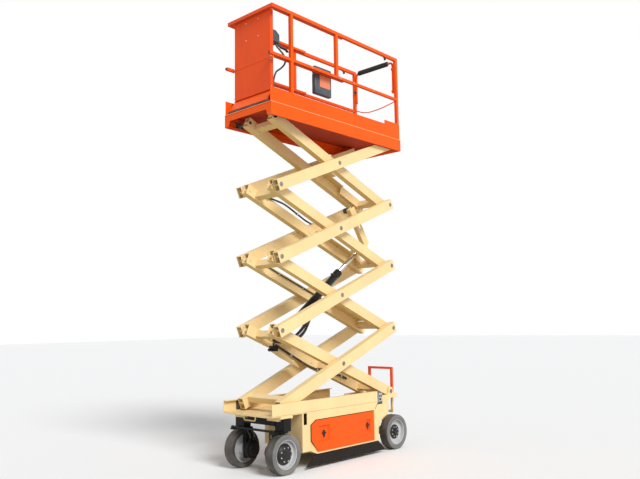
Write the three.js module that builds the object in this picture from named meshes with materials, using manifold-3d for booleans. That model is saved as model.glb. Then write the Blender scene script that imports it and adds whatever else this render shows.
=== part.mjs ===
// Narrow electric slab scissor lift, partly raised.
// Millimetres, +Z up, +X towards the steered end, +Y to the machine's left.
// The origin lies on the floor, under the centre of the machine's box.

import * as THREE from 'three';
import { mergeVertices } from 'three/addons/utils/BufferGeometryUtils.js';
import Module from 'manifold-3d';

const wasm = await Module();
wasm.setup();

// ---------------------------------------------------------------- dimensions

// Running gear.
const HALF_WIDTH = 380;
const WHEELBASE = 1865;
const FRONT_AXLE_X = 947;
const REAR_AXLE_X = FRONT_AXLE_X - WHEELBASE;
const TYRE_RADIUS = 203;
const TYRE_WIDTH = 125;
const TYRE_BORE = 150;
const TYRE_SHOULDER = 12;
const AXLE_RADIUS = 20;
const HUB_RADIUS = 62;
const KINGPIN_Y = 300;
const KINGPIN_RADIUS = 16;
const STEER_ARM = 140;
const MOTOR_RADIUS = 95;
const MOTOR_LENGTH = 92;

// Scissor stack.
const LEVELS = 4;
const ARM_LENGTH = 2064;
const REST_ANGLE = 22;
const FIXED_PIN_X = -961;
const BOTTOM_PIN_Z = 677;
const ARM_WALL = 6;
const ARM_OVERSHOOT = 45;
const SLIDING_OVERSHOOT = 26;
const OUTER_ARM_Y = 253;
const OUTER_ARM_WIDTH = 78;
const OUTER_ARM_DEPTH = 124;
const INNER_ARM_Y = 162;
const INNER_ARM_WIDTH = 78;
const INNER_ARM_DEPTH = 116;
const PIN_RADIUS = 17.5;
const PIN_HEAD_RADIUS = 26;
const PIN_HEAD = 2;
const SLEEVE_RADIUS = 27;
const CROSS_DEPTH = 70;

// Lift cylinder, between the lowest and the third inner frame.
const CYLINDER_FOOT_BACK = 274;
const CYLINDER_EYE_ALONG = 320;
const CYLINDER_EYE_RISE = 80;
const BARREL_RADIUS = 45;
const BARREL_LENGTH = 1290;
const GLAND_RADIUS = 50;
const GLAND_LENGTH = 60;
const ROD_RADIUS = 25;
const ROD_LENGTH = 1180;
const CYLINDER_PIN_RADIUS = 20;
const EYE_RADIUS = 40;
const EAR_INNER_Y = 55;
const EAR_THICKNESS = 14;

// Safety prop on the third inner frame.
const PROP_ALONG = 360;
const PROP_RISE = 160;
const PROP_Y = 92;
const PROP_WIDTH = 57;
const PROP_DEPTH = 96;
const PROP_LENGTH = 506;
const PROP_ANGLE = 35;
const ROLLER_RADIUS = 35;

// Chassis.
const DECK_TOP = 597;
const DECK_THICKNESS = 12;
const RAIL_TOP = 712;
const RAIL_FRONT_X = 1154;
const RAIL_REAR_X = -545;
const RAIL_WALL = 6;
const RAIL_FLANGE = 44;
const SKIN_OUTER_Y = 374;
const SKIN = 8;
const BAY_FRONT_X = 600;
const BAY_REAR_X = -478;
const BAY_BOTTOM_Z = 165;
const BAY_TOP_Z = 503;
const PAN_BOTTOM_Z = 150;
const TUB_GAP = 24;
const ARCH_GAP = 34;
const TUB_REAR_X = -745;
const TUB_FRONT_RIGHT_X = 560;
const FRAME_REAR_X = -905;
const LADDER_X = -1113;
const LADDER_TOP = 960;
const LADDER_WIDTH = 380;
const LADDER_TUBE = 28;
const GUARD_GROUND_GAP = 30;

// Platform.
const DECK_HEIGHT = 1099;
const PLATFORM_REAR_X = -1154;
const PLATFORM_FRONT_X = 1140;
const PLATFORM_SKIRT = 135;
const FLOOR_THICKNESS = 10;
const FLOOR_PANEL = 3;
const FLOOR_PANEL_Y = 322;
const FLOOR_CLEAR = 21;
const TOE_HEIGHT = 160;
const RAIL_TUBE = 38;
const MID_TUBE = 32;
const MID_RAIL_DROP = 560;
const FRONT_POST_X = 805;
const MIDDLE_POST_X = 50;
const EXTENSION_LENGTH = 1200;
const EXTENSION_FRAME_X = 1045;
const EXTENSION_HALF_WIDTH = 295;
const RETURN_LENGTH = 220;
const GATE_TUBE = 28;

// Clearances.
const GAP = 0.3;
const SLIDE_GAP = 0.5;
const CLEAR = 6;

// Derived places.
const CYLINDER_FOOT_ALONG = ARM_LENGTH - CYLINDER_FOOT_BACK;
const TUB_FRONT_X = FRONT_AXLE_X - TYRE_RADIUS - TUB_GAP;
const ARCH_Z = 2 * TYRE_RADIUS + ARCH_GAP;
const FLOOR_ABOVE_PINS = OUTER_ARM_DEPTH / 2 + FLOOR_CLEAR;
const REST = THREE.MathUtils.degToRad(REST_ANGLE);
const REACH = ARM_LENGTH * Math.cos(REST);
const RISE = ARM_LENGTH * Math.sin(REST);
const SLIDING_PIN_X = FIXED_PIN_X + REACH;
const TOP_PIN_Z = BOTTOM_PIN_Z + LEVELS * RISE;
const OUTER_FACE_Y = OUTER_ARM_Y + OUTER_ARM_WIDTH;
const INNER_FACE_Y = INNER_ARM_Y + INNER_ARM_WIDTH;
const TYRE_OUTER_Y = HALF_WIDTH;
const TYRE_INNER_Y = HALF_WIDTH - TYRE_WIDTH;
const FLOOR_Z = TOP_PIN_Z + FLOOR_ABOVE_PINS;
const FLOOR_TOP = FLOOR_Z + FLOOR_THICKNESS;
const RAIL_Z = FLOOR_TOP + DECK_HEIGHT;
const MID_RAIL_Z = RAIL_Z - MID_RAIL_DROP;
const TOE_TOP = FLOOR_TOP + TOE_HEIGHT;

// ------------------------------------------------------------------- colours

const paint = (color, roughness = 0.5, metalness = 0) => new THREE.MeshStandardMaterial({
  color, roughness, metalness,
});
const CREAM = paint(0xf1d8a3);
const ORANGE = paint(0xff6914);
const BLACK = paint(0x1b1b1d, 0.6);
const CHROME = paint(0xd8dadd, 0.15, 1);
const GREY = paint(0x8b8f96, 0.5, 0.2);
const TYRE = paint(0x85807c, 0.85);
const RIM = paint(0xb9bcc0, 0.5, 0.1);
const CASE = paint(0x3b3f49, 0.6);

// -------------------------------------------------------------- solid makers

const X = new THREE.Vector3(1, 0, 0);
const Y = new THREE.Vector3(0, 1, 0);
const Z = new THREE.Vector3(0, 0, 1);

/** Turns a closed three.js geometry into a solid that can be joined and cut. */
function solid(geometry) {
  const bare = geometry.index ? geometry.toNonIndexed() : geometry.clone();
  bare.deleteAttribute('normal');
  bare.deleteAttribute('uv');
  const merged = mergeVertices(bare, 1e-3);
  const source = merged.index.array;
  const corners = [];
  for (let i = 0; i < source.length; i += 3) {
    const [a, b, c] = [source[i], source[i + 1], source[i + 2]];
    if (a !== b && b !== c && c !== a) corners.push(a, b, c);
  }
  return new wasm.Manifold(new wasm.Mesh({
    numProp: 3,
    vertProperties: new Float32Array(merged.attributes.position.array),
    triVerts: new Uint32Array(corners),
  }));
}

/** Outline in the plane square to an axis: (y, z), (x, z) or (x, y). */
function prism(axis, outline, from, to) {
  const shape = new THREE.Shape(outline.map(([a, b]) => new THREE.Vector2(a, b)));
  const geometry = new THREE.ExtrudeGeometry(shape, { depth: to - from, bevelEnabled: false });
  const bases = { x: [Y, Z, X], y: [X, Z, Y.clone().negate()], z: [X, Y, Z] };
  geometry.applyMatrix4(new THREE.Matrix4().makeBasis(...bases[axis]));
  if (axis === 'x') geometry.translate(from, 0, 0);
  if (axis === 'y') geometry.translate(0, to, 0);
  if (axis === 'z') geometry.translate(0, 0, from);
  return solid(geometry);
}

const box = (x0, x1, y0, y1, z0, z1) => prism('z', [[x0, y0], [x1, y0], [x1, y1], [x0, y1]], z0, z1);

const circle = (a, b, radius, sides = 12) => Array.from({ length: sides }, (_, i) => {
  const turn = (i + 0.5) * 2 * Math.PI / sides;
  return [a + radius * Math.cos(turn), b + radius * Math.sin(turn)];
});

const rod = (axis, a, b, radius, from, to, sides = 12) => prism(axis, circle(a, b, radius, sides), from, to);

/** Radius that keeps a faceted bore's flats clear of a faceted pin's corners. */
const boreRadius = (radius, sides = 12, gap = GAP) => (radius + gap) / Math.cos(Math.PI / sides);

const join = (...parts) => parts.reduce((whole, part) => whole.add(part));
const cut = (whole, ...tools) => tools.reduce((rest, tool) => rest.subtract(tool), whole);

/** A y range on one side of the machine, low end first. */
const span = (side, inner, outer) => (side > 0 ? [inner, outer] : [-outer, -inner]);

const sideBox = (side, x0, x1, inner, outer, z0, z1) => box(x0, x1, ...span(side, inner, outer), z0, z1);
const sideRod = (side, x, z, radius, inner, outer, sides = 12) => (
  rod('y', x, z, radius, ...span(side, inner, outer), sides)
);
const sidePlate = (side, outline, inner, outer) => prism('y', outline, ...span(side, inner, outer));

/** Open square tube along X. */
function tube(x0, x1, y0, y1, z0, z1, wall) {
  const bore = box(x0 - 1, x1 + 1, y0 + wall, y1 - wall, z0 + wall, z1 - wall);
  return cut(box(x0, x1, y0, y1, z0, z1), bore);
}

const lift = new THREE.Group();

function piece(name, shape, material, parent = lift) {
  const { vertProperties, triVerts } = shape.getMesh();
  const geometry = new THREE.BufferGeometry();
  geometry.setAttribute('position', new THREE.BufferAttribute(new Float32Array(vertProperties), 3));
  geometry.setIndex(new THREE.BufferAttribute(new Uint32Array(triVerts), 1));
  const mesh = new THREE.Mesh(geometry, material);
  mesh.name = name;
  parent.add(mesh);
  return mesh;
}

const SIDES = [['left', 1], ['right', -1]];

// ------------------------------------------------------------------- chassis

/** Front ends of a side's tub and of its tray bay. */
const tubFront = (side) => (side > 0 ? TUB_FRONT_X : TUB_FRONT_RIGHT_X);
const bayFront = (side) => (side > 0 ? BAY_FRONT_X : BAY_FRONT_X - TUB_FRONT_X + TUB_FRONT_RIGHT_X);

/** Outline of a tray bay or, drawn in by a clearance, of its door. */
const bayOutline = (side, inset) => {
  const front = bayFront(side) - inset;
  return [
    [front, 288 + inset], [front, 460 - inset], [front - 78, BAY_TOP_Z - inset],
    [BAY_REAR_X + inset, BAY_TOP_Z - inset], [BAY_REAR_X + inset, BAY_BOTTOM_Z + inset],
    [front - 112, BAY_BOTTOM_Z + inset],
  ];
};

/** Side skin: front upright, upper panel, sill and rear upright round the tray bay. */
function sideSkin(side) {
  const front = tubFront(side);
  const outline = [
    [front, PAN_BOTTOM_Z + 40], [front, DECK_TOP - DECK_THICKNESS], [RAIL_REAR_X, DECK_TOP - DECK_THICKNESS],
    [RAIL_REAR_X, 560], [TUB_REAR_X, 560], [TUB_REAR_X, ARCH_Z], [-640, ARCH_Z - 40], [-560, 300],
    [-553, PAN_BOTTOM_Z], [front - 220, PAN_BOTTOM_Z], [front - 120, PAN_BOTTOM_Z + 40],
  ];
  const recess = [[648, 466], [700, 466], [700, 600], [648, 600]];
  const inner = SKIN_OUTER_Y - SKIN;
  const holes = side > 0 ? [bayOutline(side, 0), recess] : [bayOutline(side, 0)];
  const cuts = holes.map((hole) => sidePlate(side, hole, inner - 1, SKIN_OUTER_Y + 1));
  return cut(sidePlate(side, outline, inner, SKIN_OUTER_Y), ...cuts);
}

function chassisFrame() {
  const deckBottom = DECK_TOP - DECK_THICKNESS;
  const inside = SKIN_OUTER_Y - SKIN + 1;
  const spine = cut(
    box(RAIL_REAR_X, TUB_FRONT_X - 10, -70, 70, PAN_BOTTOM_Z, deckBottom + 1),
    box(RAIL_REAR_X + 12, TUB_FRONT_X - 30, -62, 62, PAN_BOTTOM_Z - 1, deckBottom - 8),
  );
  return join(
    box(-560, RAIL_FRONT_X, -SKIN_OUTER_Y, SKIN_OUTER_Y, deckBottom, DECK_TOP),
    box(RAIL_FRONT_X - 30, RAIL_FRONT_X, -SKIN_OUTER_Y + 40, SKIN_OUTER_Y - 40, deckBottom - 6, deckBottom + 1),
    box(FRONT_AXLE_X - 87, FRONT_AXLE_X + 87, -SKIN_OUTER_Y, SKIN_OUTER_Y, 560 + GAP, deckBottom + 1),
    box(TUB_FRONT_X - 20, TUB_FRONT_X, -140, inside, 190, deckBottom + 1),
    box(TUB_FRONT_RIGHT_X - 20, TUB_FRONT_RIGHT_X, -inside, -60, 190, deckBottom + 1),
    box(-560, -545, -inside, inside, PAN_BOTTOM_Z, deckBottom + 1),
    box(-560, TUB_FRONT_X - 220, -60, inside, PAN_BOTTOM_Z, PAN_BOTTOM_Z + 10),
    box(-560, TUB_FRONT_RIGHT_X - 220, -inside, 60, PAN_BOTTOM_Z, PAN_BOTTOM_Z + 10),
    box(-110, 180, 60, 160, DECK_TOP - 1, DECK_TOP + 8),
    spine,
    ...SIDES.map(([, side]) => sideSkin(side)),
  );
}
piece('chassis_frame', chassisFrame(), CREAM);

for (const [name, side] of SIDES) {
  const bottom = DECK_TOP + GAP;
  const web = sideBox(side, RAIL_REAR_X, RAIL_FRONT_X, HALF_WIDTH - RAIL_WALL, HALF_WIDTH, bottom, RAIL_TOP);
  const flange = (z0, z1) => (
    sideBox(side, RAIL_REAR_X, RAIL_FRONT_X, HALF_WIDTH - RAIL_FLANGE, HALF_WIDTH - 1, z0, z1)
  );
  const rail = join(web, flange(bottom, bottom + RAIL_WALL), flange(RAIL_TOP - RAIL_WALL, RAIL_TOP));
  piece(`slide_rail_${name}`, rail, CREAM);
}

/** Round-cornered bar loop under the front edge of the deck. */
function tieDownLoop() {
  const top = DECK_TOP - DECK_THICKNESS - GAP;
  const half = 93;
  const bottom = top - 60;
  const outline = [
    [-half, top], [-half, bottom + 18], [-half + 18, bottom], [half - 18, bottom],
    [half, bottom + 18], [half, top],
  ];
  const hole = [
    [-half + 14, top - 12], [-half + 14, bottom + 22], [-half + 24, bottom + 13],
    [half - 24, bottom + 13], [half - 14, bottom + 22], [half - 14, top - 12],
  ];
  const x0 = RAIL_FRONT_X - 30 - GAP - 14;
  return cut(prism('x', outline, x0, x0 + 14), prism('x', hole, x0 - 1, x0 + 15));
}
piece('tie_down_loop', tieDownLoop(), CREAM);

/** Rear frame: pivot lugs with their pins, ladder brackets, end wall and the rear axle beam. */
function rearFrame() {
  const front = -560 - GAP;
  const plateInner = INNER_FACE_Y + 5.5;
  const plateOuter = plateInner + 18;
  const bracketX = LADDER_X + LADDER_TUBE + GAP;
  const lug = [
    [front, ARCH_Z], [front, DECK_TOP - 6], [-640, DECK_TOP - 6], [-700, 640], [FIXED_PIN_X + 60, 640],
    [FIXED_PIN_X + 28, BOTTOM_PIN_Z + 46], [FIXED_PIN_X - 28, BOTTOM_PIN_Z + 46],
    [FIXED_PIN_X - 58, BOTTOM_PIN_Z - 22], [bracketX, BOTTOM_PIN_Z - 30], [bracketX, 600],
    [FRAME_REAR_X - 20, 596], [FRAME_REAR_X, 570], [FRAME_REAR_X, ARCH_Z],
  ];
  const tail = [
    [FRAME_REAR_X, ARCH_Z + 10], [FRAME_REAR_X, 400], [REAR_AXLE_X - 60, 330], [REAR_AXLE_X - 60, 170],
    [REAR_AXLE_X + 60, 170], [REAR_AXLE_X + 160, ARCH_Z + 10],
  ];
  const beamHalf = TYRE_INNER_Y - 15;
  const sides = SIDES.flatMap(([, side]) => [
    sidePlate(side, lug, plateInner, plateOuter),
    sidePlate(side, tail, plateInner - 9, TYRE_INNER_Y - CLEAR),
    sideRod(side, FIXED_PIN_X, BOTTOM_PIN_Z, PIN_RADIUS, INNER_ARM_Y - 4, plateInner + 1),
    sideRod(side, FIXED_PIN_X, BOTTOM_PIN_Z, PIN_HEAD_RADIUS, plateOuter - 1, plateOuter + PIN_HEAD),
    sideRod(side, REAR_AXLE_X, TYRE_RADIUS, AXLE_RADIUS, beamHalf - 1, TYRE_OUTER_Y - 55),
  ]);
  return join(
    box(FRAME_REAR_X, FRAME_REAR_X + 10, -plateOuter, plateOuter, ARCH_Z, DECK_TOP - 30),
    box(FRAME_REAR_X, front, -plateOuter, plateOuter, ARCH_Z + 6, ARCH_Z + 18),
    box(bracketX, bracketX + 10, -plateOuter, plateOuter, 602, BOTTOM_PIN_Z - 32),
    box(REAR_AXLE_X - 42, REAR_AXLE_X + 42, -beamHalf, beamHalf, 160, 246),
    ...sides,
  );
}
piece('rear_frame', rearFrame(), CREAM);

/** Rear ladder of square tube that stands up as a hand hoop behind the deck. */
function ladder() {
  const x0 = LADDER_X;
  const x1 = LADDER_X + LADDER_TUBE;
  const half = LADDER_WIDTH / 2;
  const rung = (top) => box(x0, x1, -half, half, top - LADDER_TUBE, top);
  const legs = SIDES.map(([, side]) => sideBox(side, x0, x1, half - LADDER_TUBE, half, 400, LADDER_TOP));
  return join(...legs, rung(LADDER_TOP), rung(640), rung(430));
}
piece('rear_ladder', ladder(), ORANGE);

const controlInner = INNER_FACE_Y + 5.5 + 18 + GAP;
piece('ground_control_box', join(
  box(-648, -561, controlInner, HALF_WIDTH - 6, 560, 700),
  rod('y', -604, 600, 12, HALF_WIDTH - 7, HALF_WIDTH - 1, 12),
), GREY);

// ------------------------------------------------------------ steered wheels

const BOX_BOTTOM = 2 * TYRE_RADIUS + CLEAR + 18;
const BOX_TOP = 560;

/** Axle beam with a housing at each end that carries the kingpin. */
function frontAxle() {
  const beam = box(FRONT_AXLE_X - 45, FRONT_AXLE_X + 45, -245, 245, (BOX_BOTTOM + BOX_TOP) / 2 - 15, BOX_TOP);
  const housings = SIDES.map(([, side]) => cut(
    sideBox(side, FRONT_AXLE_X - 57, FRONT_AXLE_X + 40, 240, 376, BOX_BOTTOM, BOX_TOP),
    rod('z', FRONT_AXLE_X, side * KINGPIN_Y, boreRadius(KINGPIN_RADIUS), BOX_BOTTOM - 1, BOX_TOP - 38),
  ));
  return join(beam, ...housings);
}
piece('front_axle', frontAxle(), BLACK);

const plateTop = BOX_BOTTOM - GAP;
const plateBottom = 2 * TYRE_RADIUS + CLEAR;
const tieX = FRONT_AXLE_X + STEER_ARM;
const legInner = 198;
const legOuter = TYRE_INNER_Y - 14;

for (const [name, side] of SIDES) {
  const knuckle = join(
    sideBox(side, FRONT_AXLE_X - 50, FRONT_AXLE_X + 50, legInner, KINGPIN_Y + 45, plateBottom, plateTop),
    sideBox(side, FRONT_AXLE_X, tieX + 20, KINGPIN_Y - 20, KINGPIN_Y + 20, plateBottom, plateTop),
    sideBox(side, FRONT_AXLE_X - 50, FRONT_AXLE_X + 50, legInner, legOuter, 110, plateTop),
    rod('z', FRONT_AXLE_X, side * KINGPIN_Y, KINGPIN_RADIUS, plateTop - 1, BOX_TOP - 40),
    rod('z', tieX, side * KINGPIN_Y, 8, plateTop - 1, BOX_BOTTOM + 24, 12),
    sideRod(side, FRONT_AXLE_X, TYRE_RADIUS, AXLE_RADIUS, legOuter - 1, TYRE_OUTER_Y - 55),
  );
  piece(`knuckle_${name}`, knuckle, BLACK);
  const motor = join(
    sideRod(side, FRONT_AXLE_X, TYRE_RADIUS, MOTOR_RADIUS, legInner - GAP - MOTOR_LENGTH, legInner - GAP - 18, 24),
    sideRod(side, FRONT_AXLE_X, TYRE_RADIUS, MOTOR_RADIUS - 12, legInner - GAP - 19, legInner - GAP, 24),
  );
  piece(`drive_motor_${name}`, motor, BLACK);
}

piece('tie_rod', cut(
  box(tieX - 12, tieX + 12, -KINGPIN_Y - 20, KINGPIN_Y + 20, BOX_BOTTOM, BOX_BOTTOM + 20),
  ...SIDES.map(([, side]) => (
    rod('z', tieX, side * KINGPIN_Y, boreRadius(8, 12), BOX_BOTTOM - 1, BOX_BOTTOM + 21, 12)
  )),
), BLACK);

/** Turns a closed (radius, y) profile about a wheel's axle. */
function wheelShape(profile, x, segments = 28) {
  const closed = [...profile, profile[0]].map(([radius, y]) => new THREE.Vector2(radius, y));
  const geometry = new THREE.LatheGeometry(closed, segments);
  geometry.translate(x, 0, TYRE_RADIUS);
  return solid(geometry);
}

const WHEELS = [
  ['front_left', FRONT_AXLE_X, 1], ['front_right', FRONT_AXLE_X, -1],
  ['rear_left', REAR_AXLE_X, 1], ['rear_right', REAR_AXLE_X, -1],
];
for (const [name, x, side] of WHEELS) {
  const turn = (points) => {
    const profile = points.map(([radius, y]) => [radius, side * y]);
    return side > 0 ? profile : profile.reverse();
  };
  const tyre = turn([
    [TYRE_BORE, TYRE_INNER_Y], [TYRE_RADIUS - TYRE_SHOULDER, TYRE_INNER_Y],
    [TYRE_RADIUS, TYRE_INNER_Y + TYRE_SHOULDER], [TYRE_RADIUS, TYRE_OUTER_Y - TYRE_SHOULDER],
    [TYRE_RADIUS - TYRE_SHOULDER, TYRE_OUTER_Y], [TYRE_BORE, TYRE_OUTER_Y],
  ]);
  const bore = AXLE_RADIUS + 0.8;
  const rim = turn([
    [bore, TYRE_INNER_Y + 3], [HUB_RADIUS, TYRE_INNER_Y + 3], [HUB_RADIUS, TYRE_INNER_Y + 40],
    [TYRE_BORE - 12, TYRE_INNER_Y + 46], [TYRE_BORE - 12, TYRE_INNER_Y + 10],
    [TYRE_BORE - GAP, TYRE_INNER_Y + 10], [TYRE_BORE - GAP, TYRE_OUTER_Y - 10],
    [TYRE_BORE - 12, TYRE_OUTER_Y - 10], [TYRE_BORE - 12, TYRE_OUTER_Y - 62],
    [HUB_RADIUS, TYRE_OUTER_Y - 54], [HUB_RADIUS, TYRE_OUTER_Y - 14], [bore, TYRE_OUTER_Y - 14],
  ]);
  piece(`tyre_${name}`, wheelShape(tyre, x), TYRE);
  piece(`rim_${name}`, wheelShape(rim, x), RIM);
}

// ------------------------------------------------------- trays and pothole guards

const DOOR_REAR_X = BAY_REAR_X + CLEAR;
const DOOR_OUTER_Y = HALF_WIDTH - 2;
const DOOR_INNER_Y = DOOR_OUTER_Y - 18;
const HINGE_Y = SKIN_OUTER_Y - 4;
const TRAY_INNER_Y = 92;
const TRAY_REAR_X = DOOR_REAR_X + 16;
const TRAY_THICKNESS = 8;

for (const [name, side] of SIDES) {
  const trayBottom = BAY_BOTTOM_Z + CLEAR;
  const shelf = trayBottom + TRAY_THICKNESS;
  const front = bayFront(side);
  const door = join(
    sidePlate(side, bayOutline(side, CLEAR), DOOR_INNER_Y, DOOR_OUTER_Y),
    sideBox(side, TRAY_REAR_X, front - 125, DOOR_INNER_Y - 61, DOOR_INNER_Y + 1, trayBottom, shelf),
    sideBox(side, TRAY_REAR_X, front - 168, TRAY_INNER_Y, DOOR_INNER_Y - 60, trayBottom, shelf),
    rod('z', DOOR_REAR_X + 6, side * HINGE_Y, 6, BAY_BOTTOM_Z + GAP, BAY_TOP_Z - GAP),
  );
  piece(`tray_door_${name}`, door, ORANGE);
  const load = name === 'left' ? 'battery_pack' : 'power_unit';
  const loadBox = [TRAY_REAR_X + 20, front - 168, TRAY_INNER_Y + 8, DOOR_INNER_Y - 14, shelf + GAP, 455];
  piece(load, sideBox(side, ...loadBox), BLACK);
  const guardFront = front - 100;
  const guard = [
    [guardFront + 164, GUARD_GROUND_GAP], [guardFront, PAN_BOTTOM_Z - 0.5], [-553, PAN_BOTTOM_Z - 0.5],
    [-690, GUARD_GROUND_GAP],
  ];
  piece(`pothole_guard_${name}`, sidePlate(side, guard, SKIN_OUTER_Y - 13, SKIN_OUTER_Y - 8), BLACK);
}

// ------------------------------------------------------------- scissor stack

/** A group that lies along an arm: x runs from its rear pin to its front pin. */
function armGroup(level, kind) {
  const group = new THREE.Group();
  const rises = kind === 'inner';
  group.position.set(FIXED_PIN_X, 0, BOTTOM_PIN_Z + (rises ? level - 1 : level) * RISE);
  group.rotation.y = rises ? -REST : REST;
  lift.add(group);
  return group;
}

/** Outer arm: box tube with its pins, which reach inwards through the inner frames. */
function outerArm(level, side) {
  const half = OUTER_ARM_DEPTH / 2;
  const last = level === LEVELS;
  const frontOver = level === 1 ? SLIDING_OVERSHOOT : ARM_OVERSHOOT;
  const walls = tube(
    -ARM_OVERSHOOT, ARM_LENGTH + frontOver, ...span(side, OUTER_ARM_Y, OUTER_FACE_Y), -half, half, ARM_WALL,
  );
  const pin = (x) => join(
    sideRod(side, x, 0, PIN_RADIUS, INNER_ARM_Y - 4, OUTER_FACE_Y),
    sideRod(side, x, 0, PIN_HEAD_RADIUS, OUTER_FACE_Y - 1, OUTER_FACE_Y + PIN_HEAD),
  );
  const stub = (x, outer) => sideRod(side, x, 0, PIN_RADIUS, OUTER_ARM_Y + 1, outer);
  const rear = last ? stub(0, OUTER_FACE_Y + 20) : pin(0);
  const front = level === 1 ? stub(ARM_LENGTH, HALF_WIDTH - 12) : pin(ARM_LENGTH);
  return join(walls, rear, pin(ARM_LENGTH / 2), front);
}

/** Cross members of each inner frame: [from, to] along the arm, clear of the cylinder. */
const FRONT_CROSS = ARM_LENGTH - 164;
const CROSS_MEMBERS = [
  [[60, 140], [ARM_LENGTH / 2 - 172, ARM_LENGTH / 2 - 92], [FRONT_CROSS, FRONT_CROSS + 80]],
  [[60, 140], [FRONT_CROSS, FRONT_CROSS + 80]],
  [[60, 140], [FRONT_CROSS, FRONT_CROSS + 80]],
  [[60, 140], [920, 1000], [FRONT_CROSS, FRONT_CROSS + 80]],
];

/** Inner frame: two box tubes with pin sleeves, welded to their cross members. */
function innerFrame(level) {
  const half = INNER_ARM_DEPTH / 2;
  const pinPlaces = [0, ARM_LENGTH / 2, ARM_LENGTH];
  const wall = INNER_ARM_Y + 1;
  const frontOver = level === LEVELS ? SLIDING_OVERSHOOT : ARM_OVERSHOOT;
  const parts = SIDES.map(([, side]) => {
    const range = span(side, INNER_ARM_Y, INNER_FACE_Y);
    const walls = tube(-ARM_OVERSHOOT, ARM_LENGTH + frontOver, ...range, -half, half, ARM_WALL);
    const sleeves = pinPlaces.map((x) => sideRod(side, x, 0, SLEEVE_RADIUS, INNER_ARM_Y, INNER_FACE_Y));
    return join(walls, ...sleeves);
  });
  for (const [from, to] of CROSS_MEMBERS[level - 1]) {
    parts.push(box(from, to, -wall, wall, -CROSS_DEPTH / 2, CROSS_DEPTH / 2));
  }
  if (level === 1) parts.push(...cylinderFoot());
  if (level === 2) parts.push(box(130, 700, -wall, wall, half - 12, half - 4));
  if (level === 3) parts.push(...cylinderHead(half), ...propBracket(half));
  if (level === 4) {
    parts.push(box(20, 500, -98, -90, -half + 8, half - 2));
    parts.push(box(100, 500, -wall, -91, half - 14, half - 6));
    parts.push(box(499, 921, -wall, -58, half - 14, half - 6));
    parts.push(box(735, 921, -59, 7, half - 14, half - 6));
    parts.push(box(850, 921, 6, wall, half - 14, half - 6));
  }
  const bores = SIDES.flatMap(([, side]) => pinPlaces.map((x) => (
    sideRod(side, x, 0, boreRadius(PIN_RADIUS), INNER_ARM_Y - 1, INNER_FACE_Y + 1)
  )));
  return cut(join(...parts), ...bores);
}

/** Ears and pin that hold the foot of the cylinder on the lowest frame. */
function cylinderFoot() {
  const ears = SIDES.map(([, side]) => sideBox(
    side, CYLINDER_FOOT_ALONG - 45, FRONT_CROSS + 1, EAR_INNER_Y, EAR_INNER_Y + EAR_THICKNESS, -35, 35,
  ));
  const outer = EAR_INNER_Y + EAR_THICKNESS;
  const pin = rod('y', CYLINDER_FOOT_ALONG, 0, CYLINDER_PIN_RADIUS, -outer - 4, outer + 4);
  return [...ears, pin];
}

/** Wing plates and the pair of ears round the rod's eye on the third frame. */
function cylinderHead(half) {
  const ear = [
    [139, -20], [CYLINDER_EYE_ALONG + 60, half - 8], [CYLINDER_EYE_ALONG + 34, CYLINDER_EYE_RISE + 24],
    [CYLINDER_EYE_ALONG + 12, CYLINDER_EYE_RISE + 38], [CYLINDER_EYE_ALONG - 30, CYLINDER_EYE_RISE + 30],
    [139, 34],
  ];
  return SIDES.flatMap(([, side]) => [
    sidePlate(side, ear, EAR_INNER_Y, EAR_INNER_Y + EAR_THICKNESS),
    sideBox(side, 130, 960, EAR_INNER_Y + EAR_THICKNESS - 1, INNER_ARM_Y + 1, half - 12, half - 4),
  ]);
}

/** Lugs and pin of the safety prop, on the left wing plate. */
function propBracket(half) {
  const lug = (y0, y1) => prism('y', [
    [PROP_ALONG - 50, half - 8], [PROP_ALONG + 50, half - 8], [PROP_ALONG + 20, PROP_RISE + 20],
    [PROP_ALONG - 20, PROP_RISE + 20],
  ], y0, y1);
  const y1 = PROP_Y + PROP_WIDTH;
  return [
    lug(PROP_Y - 8, PROP_Y - 2), lug(y1 + 2, y1 + 8),
    rod('y', PROP_ALONG, PROP_RISE, 9, PROP_Y - 3, y1 + 3, 12),
  ];
}

for (let level = 1; level <= LEVELS; level += 1) {
  const outer = armGroup(level, 'outer');
  for (const [name, side] of SIDES) {
    piece(`outer_arm_${level}_${name}`, outerArm(level, side), CREAM, outer);
  }
  piece(`inner_frame_${level}`, innerFrame(level), CREAM, armGroup(level, 'inner'));
}

// Plate that ties the lower ends of the lowest outer arms together.
const tieInner = OUTER_ARM_Y - GAP;
piece('slide_cross_plate', cut(
  box(ARM_LENGTH - 130, ARM_LENGTH - 45, -tieInner, tieInner, -12, 48),
  box(ARM_LENGTH - 120, ARM_LENGTH - 55, -tieInner - 1, tieInner + 1, -13, 42),
), CREAM, lift.children.find((group) => group.children[0]?.name === 'outer_arm_1_left'));

// Slide blocks: the lower pair runs in the chassis rails, the upper pair in the platform's sides.
const BLOCK_REAR = 50;
const BLOCK_FRONT = 30;
const blockInner = OUTER_FACE_Y + 5;
const blockOuter = HALF_WIDTH - RAIL_WALL - SLIDE_GAP;
const upperBlockHalf = 38;

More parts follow.
